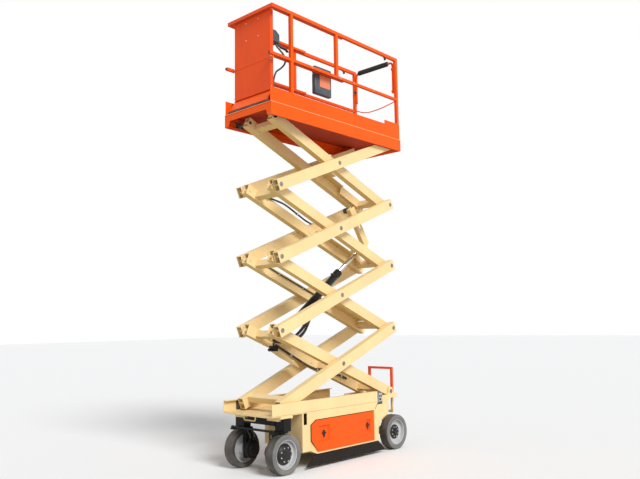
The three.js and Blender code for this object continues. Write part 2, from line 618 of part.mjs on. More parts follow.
for (const [name, side] of SIDES) {
  const lower = cut(
    sideBox(
      side, SLIDING_PIN_X - BLOCK_REAR, SLIDING_PIN_X + BLOCK_FRONT, blockInner, blockOuter,
      DECK_TOP + GAP + RAIL_WALL + SLIDE_GAP, RAIL_TOP - RAIL_WALL - SLIDE_GAP,
    ),
    sideRod(side, SLIDING_PIN_X, BOTTOM_PIN_Z, boreRadius(PIN_RADIUS), blockInner - 1, blockOuter + 1),
  );
  piece(`lower_slide_block_${name}`, lower, BLACK);
  const upper = join(
    sideBox(
      side, SLIDING_PIN_X - BLOCK_REAR, SLIDING_PIN_X + BLOCK_FRONT, blockInner, blockOuter,
      TOP_PIN_Z - upperBlockHalf, TOP_PIN_Z + upperBlockHalf,
    ),
    sideRod(side, SLIDING_PIN_X, TOP_PIN_Z, PIN_RADIUS, INNER_ARM_Y - 4, blockInner + 1),
    sideRod(side, SLIDING_PIN_X, TOP_PIN_Z, PIN_HEAD_RADIUS + 3, INNER_FACE_Y + 2, INNER_FACE_Y + 10),
  );
  piece(`upper_slide_block_${name}`, upper, BLACK);
}

// -------------------------------------------------------------- lift cylinder

const alongArm = new THREE.Vector2(Math.cos(REST), Math.sin(REST));
const offArm = new THREE.Vector2(-Math.sin(REST), Math.cos(REST));
const foot = new THREE.Vector2(FIXED_PIN_X, BOTTOM_PIN_Z).addScaledVector(alongArm, CYLINDER_FOOT_ALONG);
const eye = new THREE.Vector2(FIXED_PIN_X, BOTTOM_PIN_Z + 2 * RISE)
  .addScaledVector(alongArm, CYLINDER_EYE_ALONG)
  .addScaledVector(offArm, CYLINDER_EYE_RISE);
const pinToPin = foot.distanceTo(eye);
const cylinder = new THREE.Group();
cylinder.position.set(foot.x, 0, foot.y);
cylinder.rotation.y = Math.PI + Math.atan2(eye.y - foot.y, foot.x - eye.x);
lift.add(cylinder);

const eyeHalf = EAR_INNER_Y - 6;
piece('cylinder_barrel', cut(
  join(
    rod('x', 0, 0, BARREL_RADIUS, 20, BARREL_LENGTH - GLAND_LENGTH + 1, 24),
    rod('x', 0, 0, GLAND_RADIUS, BARREL_LENGTH - GLAND_LENGTH, BARREL_LENGTH, 24),
    rod('y', 0, 0, EYE_RADIUS, -eyeHalf, eyeHalf, 20),
  ),
  rod('x', 0, 0, ROD_RADIUS + 0.8, 110, BARREL_LENGTH + 1, 20),
  rod('y', 0, 0, boreRadius(CYLINDER_PIN_RADIUS), -eyeHalf - 1, eyeHalf + 1),
), BLACK, cylinder);
piece('cylinder_rod', join(
  rod('x', 0, 0, ROD_RADIUS, pinToPin - ROD_LENGTH, pinToPin, 20),
  rod('y', pinToPin, 0, EYE_RADIUS - 4, -eyeHalf, eyeHalf, 20),
  rod('y', pinToPin, 0, CYLINDER_PIN_RADIUS, -EAR_INNER_Y + SLIDE_GAP, EAR_INNER_Y - SLIDE_GAP),
), CHROME, cylinder);

// Safety prop: a slotted channel with a roller at its free end.
const propFoot = new THREE.Vector2(FIXED_PIN_X, BOTTOM_PIN_Z + 2 * RISE)
  .addScaledVector(alongArm, PROP_ALONG)
  .addScaledVector(offArm, PROP_RISE);
const prop = new THREE.Group();
prop.position.set(propFoot.x, 0, propFoot.y);
prop.rotation.y = -REST - THREE.MathUtils.degToRad(PROP_ANGLE);
lift.add(prop);
const propOuter = PROP_Y + PROP_WIDTH;
const propTip = PROP_LENGTH - ROLLER_RADIUS - 10;
piece('safety_prop', cut(
  box(-28, propTip + 26, PROP_Y, propOuter, -PROP_DEPTH / 2, PROP_DEPTH / 2),
  box(-30, PROP_LENGTH + 40, PROP_Y + 6, propOuter - 6, -PROP_DEPTH / 2 + 6, PROP_DEPTH / 2 + 1),
  box(200, 330, PROP_Y - 1, propOuter + 1, -20, 18),
  rod('y', 0, 0, boreRadius(9), PROP_Y - 1, propOuter + 1),
  rod('y', propTip, 4, boreRadius(10), PROP_Y - 1, PROP_Y + 7),
), CREAM, prop);
piece('prop_roller', join(
  rod('y', propTip, 4, ROLLER_RADIUS, PROP_Y - 78, PROP_Y - 2, 16),
  rod('y', propTip, 4, 10, PROP_Y - 3, PROP_Y + 12),
), BLACK, prop);

// ------------------------------------------------------------------ platform

/** Platform base: side channels for the slide blocks, end skirts, floor and rear lugs. */
function platformFrame() {
  const top = FLOOR_TOP;
  const bottom = TOP_PIN_Z - PLATFORM_SKIRT + FLOOR_ABOVE_PINS - 3;
  const web = RAIL_WALL;
  const channelTop = TOP_PIN_Z + upperBlockHalf + SLIDE_GAP;
  const channelBottom = TOP_PIN_Z - upperBlockHalf - SLIDE_GAP;
  const inner = HALF_WIDTH - RAIL_FLANGE;
  const lug = [
    [FIXED_PIN_X - 60, FLOOR_Z + 1], [FIXED_PIN_X - 34, TOP_PIN_Z - 36], [FIXED_PIN_X + 34, TOP_PIN_Z - 36],
    [FIXED_PIN_X + 60, FLOOR_Z + 1],
  ];
  const parts = SIDES.flatMap(([, side]) => [
    sideBox(side, PLATFORM_REAR_X, PLATFORM_FRONT_X, HALF_WIDTH - web, HALF_WIDTH, bottom, top - 4),
    sideBox(side, -60, PLATFORM_FRONT_X, inner, HALF_WIDTH - 1, channelTop, channelTop + web),
    sideBox(side, -60, PLATFORM_FRONT_X, inner, HALF_WIDTH - 1, channelBottom - web, channelBottom),
    sideBox(side, PLATFORM_REAR_X, -60, inner + 12, HALF_WIDTH - 1, bottom, bottom + web),
    cut(
      sidePlate(side, lug, OUTER_FACE_Y + 3, OUTER_FACE_Y + 19),
      sideRod(side, FIXED_PIN_X, TOP_PIN_Z, boreRadius(PIN_RADIUS), OUTER_FACE_Y, OUTER_FACE_Y + 30),
    ),
  ]);
  const apron = [
    [-HALF_WIDTH + 1, bottom], [-320, bottom], [-300, bottom + 66], [300, bottom + 66], [320, bottom],
    [HALF_WIDTH - 1, bottom], [HALF_WIDTH - 1, top - 14], [-HALF_WIDTH + 1, top - 14],
  ];
  return join(
    box(PLATFORM_REAR_X, PLATFORM_FRONT_X, -HALF_WIDTH + 1, HALF_WIDTH - 1, FLOOR_Z, top),
    box(PLATFORM_REAR_X + 14, -180, -FLOOR_PANEL_Y, FLOOR_PANEL_Y, top - 1, top + FLOOR_PANEL),
    prism('x', apron, PLATFORM_FRONT_X - web, PLATFORM_FRONT_X),
    box(PLATFORM_REAR_X, PLATFORM_REAR_X + web, -HALF_WIDTH + 1, HALF_WIDTH - 1, bottom, top - 4),
    ...parts,
  );
}
piece('platform_frame', platformFrame(), ORANGE);

const railOuter = HALF_WIDTH - 12;
const railInner = railOuter - RAIL_TUBE;
const toeOuter = HALF_WIDTH - 10;

/** One side of the platform: toe board, posts, top rail and mid rail. */
function guardrail(side) {
  const toeInner = toeOuter - 6;
  const post = (x, z0, z1) => sideBox(side, x - RAIL_TUBE / 2, x + RAIL_TUBE / 2, railInner, railOuter, z0, z1);
  const rearPost = PLATFORM_REAR_X + RAIL_TUBE / 2 + 4;
  const topFront = EXTENSION_FRAME_X + 64 - RETURN_LENGTH - CLEAR;
  const rearToe = [[PLATFORM_REAR_X, toeInner], [PLATFORM_REAR_X + 310, toeInner]].map(([x]) => x);
  return join(
    sideBox(side, PLATFORM_REAR_X, PLATFORM_FRONT_X, toeInner, toeOuter, FLOOR_TOP + GAP, TOE_TOP),
    sideBox(side, rearToe[0], rearToe[1], toeInner, toeOuter, TOE_TOP - 1, TOE_TOP + 50),
    sideBox(side, FRONT_POST_X - 19, FRONT_POST_X + 19, railInner, toeInner + 1, TOE_TOP - 60, TOE_TOP - 1),
    post(FRONT_POST_X, TOE_TOP - 60, RAIL_Z - 1),
    post(MIDDLE_POST_X, MID_RAIL_Z, RAIL_Z - 1),
    sideBox(side, rearPost - 19, rearPost + 19, railInner, toeInner + 1, FLOOR_TOP + GAP, TOE_TOP),
    post(rearPost, FLOOR_TOP + GAP, RAIL_Z - 1),
    sideBox(side, PLATFORM_REAR_X + 4, topFront, railInner, railOuter, RAIL_Z - RAIL_TUBE, RAIL_Z),
    sideBox(
      side, PLATFORM_REAR_X + 4, PLATFORM_FRONT_X, railOuter - MID_TUBE, railOuter,
      MID_RAIL_Z - MID_TUBE / 2, MID_RAIL_Z + MID_TUBE / 2,
    ),
  );
}
for (const [name, side] of SIDES) piece(`guardrail_${name}`, guardrail(side), ORANGE);

// Swing gate of bent tube, hinged on the left rear post.
const GATE_X = PLATFORM_REAR_X + 24;
const GATE_HINGE_Y = railInner - CLEAR - GATE_TUBE / 2 - 4;
const gateTop = RAIL_Z - 12;
const gateHalf = GATE_TUBE / 2;
const gateFarY = -railInner + CLEAR + gateHalf;
const gateLeg = (y) => box(
  GATE_X - gateHalf, GATE_X + gateHalf, y - gateHalf, y + gateHalf, MID_RAIL_Z + 100, gateTop,
);
const gateHinge = (z) => rod('z', GATE_X, GATE_HINGE_Y, railInner - GATE_HINGE_Y - GAP, z - 12, z + 12, 24);
piece('swing_gate', join(
  gateLeg(GATE_HINGE_Y),
  gateLeg(gateFarY),
  box(GATE_X - gateHalf, GATE_X + gateHalf, gateFarY, GATE_HINGE_Y, gateTop - GATE_TUBE, gateTop),
  gateHinge(MID_RAIL_Z + 130),
  gateHinge(MID_RAIL_Z + 430),
), ORANGE);

// Cable across the entry, below the gate: it hangs between the two rear posts.
const CABLE_RADIUS = 7;
const cableEnd = railInner - 2 * GAP;
const cableRoute = new THREE.CatmullRomCurve3([
  [-cableEnd, 2], [-cableEnd + 12, 1], [-290, -10], [-230, -37], [-132, -61], [-30, -63], [70, -57],
  [165, -45], [250, -30], [cableEnd - 12, -18], [cableEnd, -18],
].map(([y, z]) => new THREE.Vector3(GATE_X, y, MID_RAIL_Z + z)));
const cableSection = new THREE.Shape(circle(0, 0, CABLE_RADIUS, 8).map(([a, b]) => new THREE.Vector2(a, b)));
piece('entry_cable', solid(new THREE.ExtrudeGeometry(cableSection, {
  steps: 30, extrudePath: cableRoute, bevelEnabled: false,
})), ORANGE);

// ------------------------------------------------------------- deck extension

const slideRailOuter = railInner - CLEAR + 1;
const SLIDE_TUBE = 28;
const extensionRear = EXTENSION_FRAME_X - EXTENSION_LENGTH + 45;
const barX0 = EXTENSION_FRAME_X + 26;
const barX1 = EXTENSION_FRAME_X + 64;

/** Sliding floor with its toe boards. */
function extensionDeck() {
  const z0 = FLOOR_TOP + SLIDE_GAP;
  const sideY = slideRailOuter;
  const apron = [
    [PLATFORM_FRONT_X - 14, z0 + 30], [PLATFORM_FRONT_X - 8, z0 + 32], [EXTENSION_FRAME_X + 6, TOE_TOP],
    [EXTENSION_FRAME_X - 1, TOE_TOP],
  ];
  return join(
    box(extensionRear + 200, PLATFORM_FRONT_X - 12, -sideY, sideY, z0, z0 + 8),
    box(EXTENSION_FRAME_X - 4, EXTENSION_FRAME_X + 2, -sideY, sideY, z0, TOE_TOP),
    prism('y', apron, -EXTENSION_HALF_WIDTH - 15, EXTENSION_HALF_WIDTH + 15),
    box(PLATFORM_FRONT_X - 20, PLATFORM_FRONT_X - 12, -sideY, sideY, z0, z0 + 33),
    ...SIDES.map(([, side]) => (
      sideBox(side, extensionRear + 200, EXTENSION_FRAME_X + 1, sideY - 6, sideY, z0, TOE_TOP + 8)
    )),
  );
}
piece('extension_deck', extensionDeck(), ORANGE);

/** Front frame with its two-piece sheet panel and the top bar with its side returns. */
function extensionFront() {
  const z0 = TOE_TOP + GAP;
  const half = EXTENSION_HALF_WIDTH;
  const posts = SIDES.flatMap(([, side]) => [
    sideBox(side, EXTENSION_FRAME_X - 20, EXTENSION_FRAME_X + 20, half - 42, half, z0 + 10, RAIL_Z - 20),
    sideBox(side, barX1 - RETURN_LENGTH, barX1, railInner, railOuter + 2, RAIL_Z - 42, RAIL_Z),
  ]);
  return join(
    box(EXTENSION_FRAME_X + 19, EXTENSION_FRAME_X + 22, -half, half, z0, RAIL_Z - 40),
    box(barX0, barX1, -railOuter - 2, railOuter + 2, RAIL_Z - RAIL_TUBE, RAIL_Z),
    box(EXTENSION_FRAME_X - 20, barX0 + 1, -half, half, RAIL_Z - RAIL_TUBE, RAIL_Z - 2),
    box(EXTENSION_FRAME_X - 20, EXTENSION_FRAME_X + 20, -half, half, MID_RAIL_Z - 16, MID_RAIL_Z + 16),
    box(EXTENSION_FRAME_X - 20, EXTENSION_FRAME_X + 20, -half, half, z0, z0 + 26),
    ...posts,
  );
}
piece('extension_front', extensionFront(), ORANGE);

for (const [name, side] of SIDES) {
  const y1 = slideRailOuter;
  const y0 = y1 - SLIDE_TUBE;
  const bar = (top) => sideBox(side, extensionRear, EXTENSION_FRAME_X - 22, y0, y1, top - SLIDE_TUBE, top);
  const rails = join(
    bar(RAIL_Z - 5),
    bar(MID_RAIL_Z + SLIDE_TUBE / 2),
    sideBox(side, EXTENSION_FRAME_X - 50, EXTENSION_FRAME_X - 20 - GAP, y0, y1, TOE_TOP + 8 + GAP, RAIL_Z - 5),
  );
  piece(`extension_rails_${name}`, rails, ORANGE);
}

// Control box on the front frame, and the case for papers on the sliding mid rail.
const boxBack = EXTENSION_FRAME_X - 20 - GAP;
piece('platform_control_box', join(
  box(boxBack - 130, boxBack, 110, 250, MID_RAIL_Z + 190, MID_RAIL_Z + 330),
  rod('z', boxBack - 65, 180, 14, MID_RAIL_Z + 329, MID_RAIL_Z + 380, 12),
  box(boxBack - 40, boxBack + 15, 150, 210, MID_RAIL_Z + 16 + GAP, MID_RAIL_Z + 191),
), CASE);
piece('document_case', box(
  80, 364, slideRailOuter - SLIDE_TUBE - GAP - 55, slideRailOuter - SLIDE_TUBE - GAP,
  MID_RAIL_Z - 250, MID_RAIL_Z + 82,
), CASE);

export default lift;
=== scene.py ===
import math

import bmesh
import bpy
from mathutils import Matrix, Vector


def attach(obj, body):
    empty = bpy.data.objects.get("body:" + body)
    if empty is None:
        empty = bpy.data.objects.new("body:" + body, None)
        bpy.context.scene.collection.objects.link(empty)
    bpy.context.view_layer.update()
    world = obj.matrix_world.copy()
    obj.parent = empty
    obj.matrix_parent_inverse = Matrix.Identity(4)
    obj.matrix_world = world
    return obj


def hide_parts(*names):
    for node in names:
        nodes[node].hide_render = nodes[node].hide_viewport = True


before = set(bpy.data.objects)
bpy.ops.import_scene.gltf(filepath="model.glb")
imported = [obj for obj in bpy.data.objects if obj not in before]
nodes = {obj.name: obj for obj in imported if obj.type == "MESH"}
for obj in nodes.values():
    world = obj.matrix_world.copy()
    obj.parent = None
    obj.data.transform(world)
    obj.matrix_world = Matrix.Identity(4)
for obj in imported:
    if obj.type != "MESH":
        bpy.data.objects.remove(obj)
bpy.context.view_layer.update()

# ---- Camera ----
# A 39 mm lens on a stand off the machine's front left corner, a little above the lowest arms.
# It looks a little upward and is rolled by less than a degree, and everything is in focus.
camera = bpy.data.objects.new("camera", bpy.data.cameras.new("camera"))
bpy.context.scene.collection.objects.link(camera)
bpy.context.scene.camera = camera
camera.data.lens = 38.714
camera.data.clip_end = 200
camera_place = (5.974, 5.501, 1.517)
yaw, pitch, roll = (math.radians(turn) for turn in (222.6408, 6.9551, -0.8776))
ahead = Vector((math.cos(yaw) * math.cos(pitch), math.sin(yaw) * math.cos(pitch), math.sin(pitch)))
level = ahead.cross(Vector((0, 0, 1))).normalized()
upward = level.cross(ahead)
right = level * math.cos(roll) + upward * math.sin(roll)
top = upward * math.cos(roll) - level * math.sin(roll)
camera_turn = Matrix((right, top, -ahead)).transposed().to_4x4()
camera.matrix_world = Matrix.Translation(camera_place) @ camera_turn

# ---- Entry cable ----
# A steel cable in an orange plastic sleeve that hangs across the way in, below the gate.
# Each end is crimped into an eye on a rear post, so the piece replaces its plain solid from end to end.


def smooth_path(points, steps=8):
    """Catmull-Rom samples through the points."""
    spots = [Vector(p) for p in points]
    spots = [2 * spots[0] - spots[1], *spots, 2 * spots[-1] - spots[-2]]
    path = []
    for a, b, c, d in zip(spots, spots[1:], spots[2:], spots[3:]):
        for step in range(steps):
            t = step / steps
            path.append(0.5 * (2 * b + (c - a) * t + (2 * a - 5 * b + 4 * c - d) * t * t
                               + (3 * b - a - 3 * c + d) * t ** 3))
    return path + [spots[-2]]


def wire(tree, kind, settings=None, **inputs):
    """A shader node with its settings and its inputs, given by name or as i0, i1 and so on."""
    made = tree.nodes.new(kind)
    for key, value in (settings or {}).items():
        setattr(made, key, value)
    for key, value in inputs.items():
        socket = made.inputs[int(key[1:])] if key[1:].isdigit() else made.inputs[key.replace("_", " ")]
        if isinstance(value, bpy.types.NodeSocket):
            tree.links.new(value, socket)
        else:
            socket.default_value = value
    return made


def shader_group(name, inputs, outputs):
    """An empty node group with its sockets; returns its tree, what it is given and what it puts out."""
    tree = bpy.data.node_groups.new(name, "ShaderNodeTree")
    for label, kind, value in inputs:
        socket = tree.interface.new_socket(label, in_out="INPUT", socket_type="NodeSocket" + kind)
        if value is not None:
            socket.default_value = value
    for label, kind in outputs:
        tree.interface.new_socket(label, in_out="OUTPUT", socket_type="NodeSocket" + kind)
    return tree, tree.nodes.new("NodeGroupInput").outputs, tree.nodes.new("NodeGroupOutput").inputs


def spread(tree, value, low, high, to_low=0.0, to_high=1.0):
    """A value mapped from one range to another, clamped."""
    made = wire(tree, "ShaderNodeMapRange", Value=value, From_Min=low, From_Max=high, To_Min=to_low,
                To_Max=to_high)
    return made.outputs["Result"]


def calc(tree, operation, a, b=0.0):
    """The clamped result of a sum on one or two values."""
    return wire(tree, "ShaderNodeMath", {"operation": operation, "use_clamp": True}, i0=a, i1=b).outputs[0]


def blended(tree, factor, a, b):
    """A colour between two colours."""
    return wire(tree, "ShaderNodeMix", {"data_type": "RGBA"}, i0=factor, i6=a, i7=b).outputs[2]


def tinted(tree, colour, strength):
    """A colour made lighter or darker."""
    return wire(tree, "ShaderNodeVectorMath", {"operation": "SCALE"}, i0=colour, Scale=strength).outputs[0]


# Moulded rubber or plastic: fine grain, faint blotches and dust.
tree, given, out = shader_group(
    "moulded_skin",
    [("Vector", "Vector", None), ("Color", "Color", None), ("Grain", "Float", 400.0), ("Gloss", "Float", 0.5),
     ("Dust", "Float", 0.2)],
    [("Color", "Color"), ("Roughness", "Float"), ("Height", "Float")])
grain = wire(tree, "ShaderNodeTexNoise", Vector=given["Vector"], Scale=given["Grain"], Detail=2.0)
blotch = wire(tree, "ShaderNodeTexNoise", Vector=given["Vector"], Scale=7.0, Detail=5.0)
dusty = calc(tree, "MULTIPLY", spread(tree, blotch.outputs[0], 0.42, 0.68), given["Dust"])
toned = tinted(tree, given["Color"], spread(tree, blotch.outputs[0], 0.3, 0.7, 0.84, 1.12))
dust_colour = (0.30, 0.27, 0.23, 1)
tree.links.new(blended(tree, dusty, toned, dust_colour), out["Color"])
tree.links.new(calc(tree, "ADD", given["Gloss"], calc(tree, "MULTIPLY", dusty, 0.6)), out["Roughness"])
tree.links.new(grain.outputs[0], out["Height"])


def start_coat(name):
    """A new material, its node tree and the object's own coordinates in it."""
    coat = bpy.data.materials.new(name)
    coat.use_nodes = True
    return coat, coat.node_tree, wire(coat.node_tree, "ShaderNodeTexCoord").outputs["Object"]


def link_coat(tree, film, bump, depth, **under):
    """Carries a group's colour, roughness and height to the material's shader, which it returns."""
    shader = tree.nodes["Principled BSDF"]
    height = film.outputs["Height"]
    ridge = wire(tree, "ShaderNodeBump", Height=height, Strength=bump, Distance=depth, **under)
    tree.links.new(film.outputs["Color"], shader.inputs["Base Color"])
    tree.links.new(film.outputs["Roughness"], shader.inputs["Roughness"])
    tree.links.new(ridge.outputs[0], shader.inputs["Normal"])
    return shader


def moulded(name, colour, grain=400.0, gloss=0.5, dust=0.2, bump=0.2):
    """Material of a moulded plastic or rubber piece."""
    coat, tree, spot = start_coat(name)
    skin = wire(tree, "ShaderNodeGroup", {"node_tree": bpy.data.node_groups["moulded_skin"]},
                Vector=spot, Color=(*colour, 1), Grain=grain, Gloss=gloss, Dust=dust)
    link_coat(tree, skin, bump, 0.001)
    return coat


def cord_piece(name, points, radius, coat, steps=8):
    """A round cord along a smooth open path, at the origin."""
    curve = bpy.data.curves.new(name, "CURVE")
    curve.dimensions = "3D"
    curve.bevel_depth = radius
    curve.bevel_resolution = 3
    curve.use_fill_caps = True
    path = smooth_path(points, steps)
    spline = curve.splines.new("POLY")
    spline.points.add(len(path) - 1)
    for point, place in zip(spline.points, path):
        point.co = (*place, 1)
    curve.materials.append(coat)
    made = bpy.data.objects.new(name, curve)
    bpy.context.scene.collection.objects.link(made)
    return made, sum((b - a).length for a, b in zip(path, path[1:]))


way_in, cable_height = -1.13, 4.40175
cable_points = [(way_in, y, cable_height + z) for y, z in (
    (-0.3294, 0.002), (-0.3174, 0.001), (-0.29, -0.010), (-0.23, -0.037), (-0.132, -0.061), (-0.03, -0.063),
    (0.07, -0.057), (0.165, -0.045), (0.25, -0.030), (0.3174, -0.018), (0.3294, -0.018))]
sleeve = moulded("cable_sleeve", (0.86, 0.10, 0.012), grain=500.0, gloss=0.38, dust=0.12)
entry_cable, cable_length = cord_piece("entry_cable_sleeve", cable_points, 0.007, sleeve)
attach(entry_cable, "platform")
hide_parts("entry_cable")

# ---- Floor ----
# A plain white studio floor that runs out past the view and keeps the machine's soft shadow.
# It is smooth and painted matt, and the tyres stand on it.
floor_reach, floor_white = 60, (0.92, 0.92, 0.92, 1)
bm = bmesh.new()
bmesh.ops.create_grid(bm, x_segments=1, y_segments=1, size=floor_reach)
floor_mesh = bpy.data.meshes.new("floor")
bm.to_mesh(floor_mesh)
bm.free()
floor = bpy.data.objects.new("floor", floor_mesh)
bpy.context.scene.collection.objects.link(floor)
floor_paint = bpy.data.materials.new("studio_floor")
floor_paint.use_nodes = True
floor_shader = floor_paint.node_tree.nodes["Principled BSDF"]
floor_shader.inputs["Base Color"].default_value = floor_white
floor_shader.inputs["Roughness"].default_value = 0.9
floor_mesh.materials.append(floor_paint)

# ---- Studio light ----
# Surroundings that are seen and mirrored as plain white, but light the machine only dimly,
# and one broad soft lamp high on the machine's left that throws its shadow to the right.
world = bpy.data.worlds.new("studio")
bpy.context.scene.world = world
world.use_nodes = True
tree = world.node_tree
tree.nodes.clear()
soft = wire(tree, "ShaderNodeBackground", Color=(0.97, 0.98, 1.0, 1), Strength=0.42)
white = wire(tree, "ShaderNodeBackground", Color=(1, 1, 1, 1), Strength=1.0)
paths = wire(tree, "ShaderNodeLightPath")
seen = calc(tree, "MAXIMUM", paths.outputs["Is Camera Ray"], paths.outputs["Is Glossy Ray"])
seen = calc(tree, "MAXIMUM", seen, paths.outputs["Is Transmission Ray"])
choose = wire(tree, "ShaderNodeMixShader", i0=seen, i1=soft.outputs[0], i2=white.outputs[0])
wire(tree, "ShaderNodeOutputWorld", Surface=choose.outputs[0])


def sky_lamp(name, place, strength, spread_angle):
    """A broad far lamp that shines from a place towards the machine."""
    lamp = bpy.data.objects.new(name, bpy.data.lights.new(name, "SUN"))
    lamp.data.energy = strength
    lamp.data.angle = math.radians(spread_angle)
    lamp.rotation_euler = Vector(place).to_track_quat("Z", "Y").to_euler()
    bpy.context.scene.collection.objects.link(lamp)


sky_lamp("key_lamp", place=(2.2, 8.0, 7.0), strength=2.7, spread_angle=24)
bpy.context.scene.view_settings.view_transform = "Standard"

# ---- Chassis, rails and arms ----
# Folded and welded steel plate and box tube under a satin cream coat that is sprayed on after welding.
# The coat is streaked down its sides and dulled by dust near the ground. Its edges are lightened partly by
# wear and partly by a painted highlight, and faces that look down are darkened as painted shade.
tree, given, out = shader_group(
    "paint_film",
    [("Vector", "Vector", None), ("Color", "Color", None), ("Shade", "Color", None), ("Edge", "Float", 0.0),
     ("Gloss", "Float", 0.4), ("Soil", "Float", 0.4), ("Under", "Float", 0.0)],
    [("Color", "Color"), ("Roughness", "Float"), ("Height", "Float")])
cloud = wire(tree, "ShaderNodeTexNoise", Vector=given["Vector"], Scale=2.4, Detail=4.0).outputs[0]
peel = wire(tree, "ShaderNodeTexNoise", Vector=given["Vector"], Scale=320.0, Detail=1.0).outputs[0]
fleck = wire(tree, "ShaderNodeTexNoise", Vector=given["Vector"], Scale=75.0, Detail=4.0).outputs[0]
drawn = wire(tree, "ShaderNodeMapping", Vector=given["Vector"], Scale=(16.0, 16.0, 1.1)).outputs[0]
streak = wire(tree, "ShaderNodeTexNoise", Vector=drawn, Scale=1.6, Detail=3.0).outputs[0]
height = wire(tree, "ShaderNodeSeparateXYZ", i0=given["Vector"]).outputs["Z"]
splash = calc(tree, "MULTIPLY", spread(tree, height, 0.62, 0.05), spread(tree, fleck, 0.38, 0.66))
soil = calc(tree, "ADD", calc(tree, "MULTIPLY", spread(tree, streak, 0.54, 0.78), 0.35), splash)
# Faces that look down (Under) are darkened towards the Shade colour as painted shade, on top of the dirt.
soil = calc(tree, "MAXIMUM", calc(tree, "MULTIPLY", soil, given["Soil"]), given["Under"])
even = tinted(tree, given["Color"], spread(tree, cloud, 0.3, 0.7, 0.93, 1.06))
soiled_and_shaded = blended(tree, soil, even, given["Shade"])
# Edges are lightened towards a brighter copy of the colour: partly worn paint, partly a painted highlight.
edge_wear_and_highlight = calc(tree, "MULTIPLY", given["Edge"], spread(tree, fleck, 0.36, 0.62, 0.25, 0.9))
tree.links.new(blended(tree, edge_wear_and_highlight, soiled_and_shaded, tinted(tree, given["Color"], 1.22)), out["Color"])
rough = calc(tree, "ADD", given["Gloss"], calc(tree, "MULTIPLY", soil, 0.5))
tree.links.new(calc(tree, "ADD", rough, spread(tree, cloud, 0.3, 0.7, 0.0, 0.08)), out["Roughness"])
uneven = calc(tree, "ADD", calc(tree, "MULTIPLY", peel, 0.5), calc(tree, "MULTIPLY", edge_wear_and_highlight, 0.3))
tree.links.new(uneven, out["Height"])


def painted(name, colour, shade, gloss=0.38, soil=0.4, radius=0.003):
    """Material of a painted steel piece, with rounded edges lightened by wear and a painted highlight, and
    painted shade on faces that look down.
    """
    coat, tree, spot = start_coat(name)
    soft_edge = wire(tree, "ShaderNodeBevel", {"samples": 4}, Radius=radius).outputs[0]
    flat = wire(tree, "ShaderNodeNewGeometry").outputs["Normal"]
    turn = wire(tree, "ShaderNodeVectorMath", {"operation": "DOT_PRODUCT"}, i0=soft_edge, i1=flat)
    edge = spread(tree, turn.outputs["Value"], 0.995, 0.86)
    facing = wire(tree, "ShaderNodeSeparateXYZ", i0=flat).outputs["Z"]
    # Under darkens faces that look down: this is painted shade.
    film = wire(tree, "ShaderNodeGroup", {"node_tree": bpy.data.node_groups["paint_film"]}, Vector=spot,
                Color=(*colour, 1), Shade=(*shade, 1), Edge=edge, Gloss=gloss, Soil=soil,
                Under=spread(tree, facing, -0.2, -0.9, 0.0, 0.75))
    shader = link_coat(tree, film, 0.22, 0.0006, Normal=soft_edge)
    shader.inputs["Specular IOR Level"].default_value = 0.2
    return coat


def recoat(coat, *names):
    """Gives solids that keep their shape their material."""
    for name in names:
        nodes[name].data.materials.clear()
        nodes[name].data.materials.append(coat)


cream = painted("cream_coat", (0.86, 0.645, 0.325), (0.50, 0.33, 0.09), soil=0.3)
recoat(cream, "chassis_frame", "slide_rail_left", "slide_rail_right", "rear_frame", "slide_cross_plate",
       "safety_prop")
for stage in range(1, 5):
    recoat(cream, f"inner_frame_{stage}", f"outer_arm_{stage}_left", f"outer_arm_{stage}_right")


def add_box(bm, low, high, turn=None):
    """A box between two opposite corners, turned about its centre if asked."""
    low, high = Vector(low), Vector(high)
    size = Matrix.Diagonal((*(abs(length) for length in high - low), 1))
    bmesh.ops.create_cube(bm, size=1, matrix=Matrix.Translation((low + high) / 2) @ (turn or Matrix()) @ size)


def add_rod(bm, start, end, radius, sides=24, end_radius=None):
    """A round bar from one point to another, closed at both ends."""
    start, end = Vector(start), Vector(end)
    turn = (end - start).to_track_quat("Z", "Y").to_matrix().to_4x4()
    bmesh.ops.create_cone(bm, cap_ends=True, segments=sides, radius1=radius, depth=(end - start).length,
                          radius2=radius if end_radius is None else end_radius,
                          matrix=Matrix.Translation((start + end) / 2) @ turn)


def add_lathe(bm, profile, origin, axis, sides=72, closed=False):
    """A profile of (radius, distance along the axis) turned about an axis through the origin point."""
    spots = [bm.verts.new((radius, 0, along)) for radius, along in profile]
    pairs = list(zip(spots, spots[1:])) + ([(spots[-1], spots[0])] if closed else [])
    edges = [bm.edges.new(pair) for pair in pairs]
    made = bmesh.ops.spin(bm, geom=spots + edges, cent=(0, 0, 0), axis=(0, 0, 1), angle=2 * math.pi,
                          steps=sides, use_merge=True, use_duplicate=False)
    found = set(spots) | {v for v in made["geom_last"] if isinstance(v, bmesh.types.BMVert)}
    grown = set(found)
    while grown:
        grown = {e.other_vert(v) for v in grown for e in v.link_edges} - found
        found |= grown
    place = Matrix.Translation(origin) @ Vector(axis).to_track_quat("Z", "Y").to_matrix().to_4x4()
    bmesh.ops.transform(bm, matrix=place, verts=list(found))


def add_slab(bm, axis, outline, low, high):
    """A plate: an outline in the two other axes, given thickness along one axis."""
    places = {"x": lambda a, b: (low, a, b), "y": lambda a, b: (a, low, b), "z": lambda a, b: (a, b, low)}
    face = bm.faces.new([bm.verts.new(places[axis](a, b)) for a, b in outline])
    made = bmesh.ops.extrude_face_region(bm, geom=[face])["geom"]
    push = Vector([high - low if axis == name else 0 for name in "xyz"])
    bmesh.ops.translate(bm, verts=[v for v in made if isinstance(v, bmesh.types.BMVert)], vec=push)


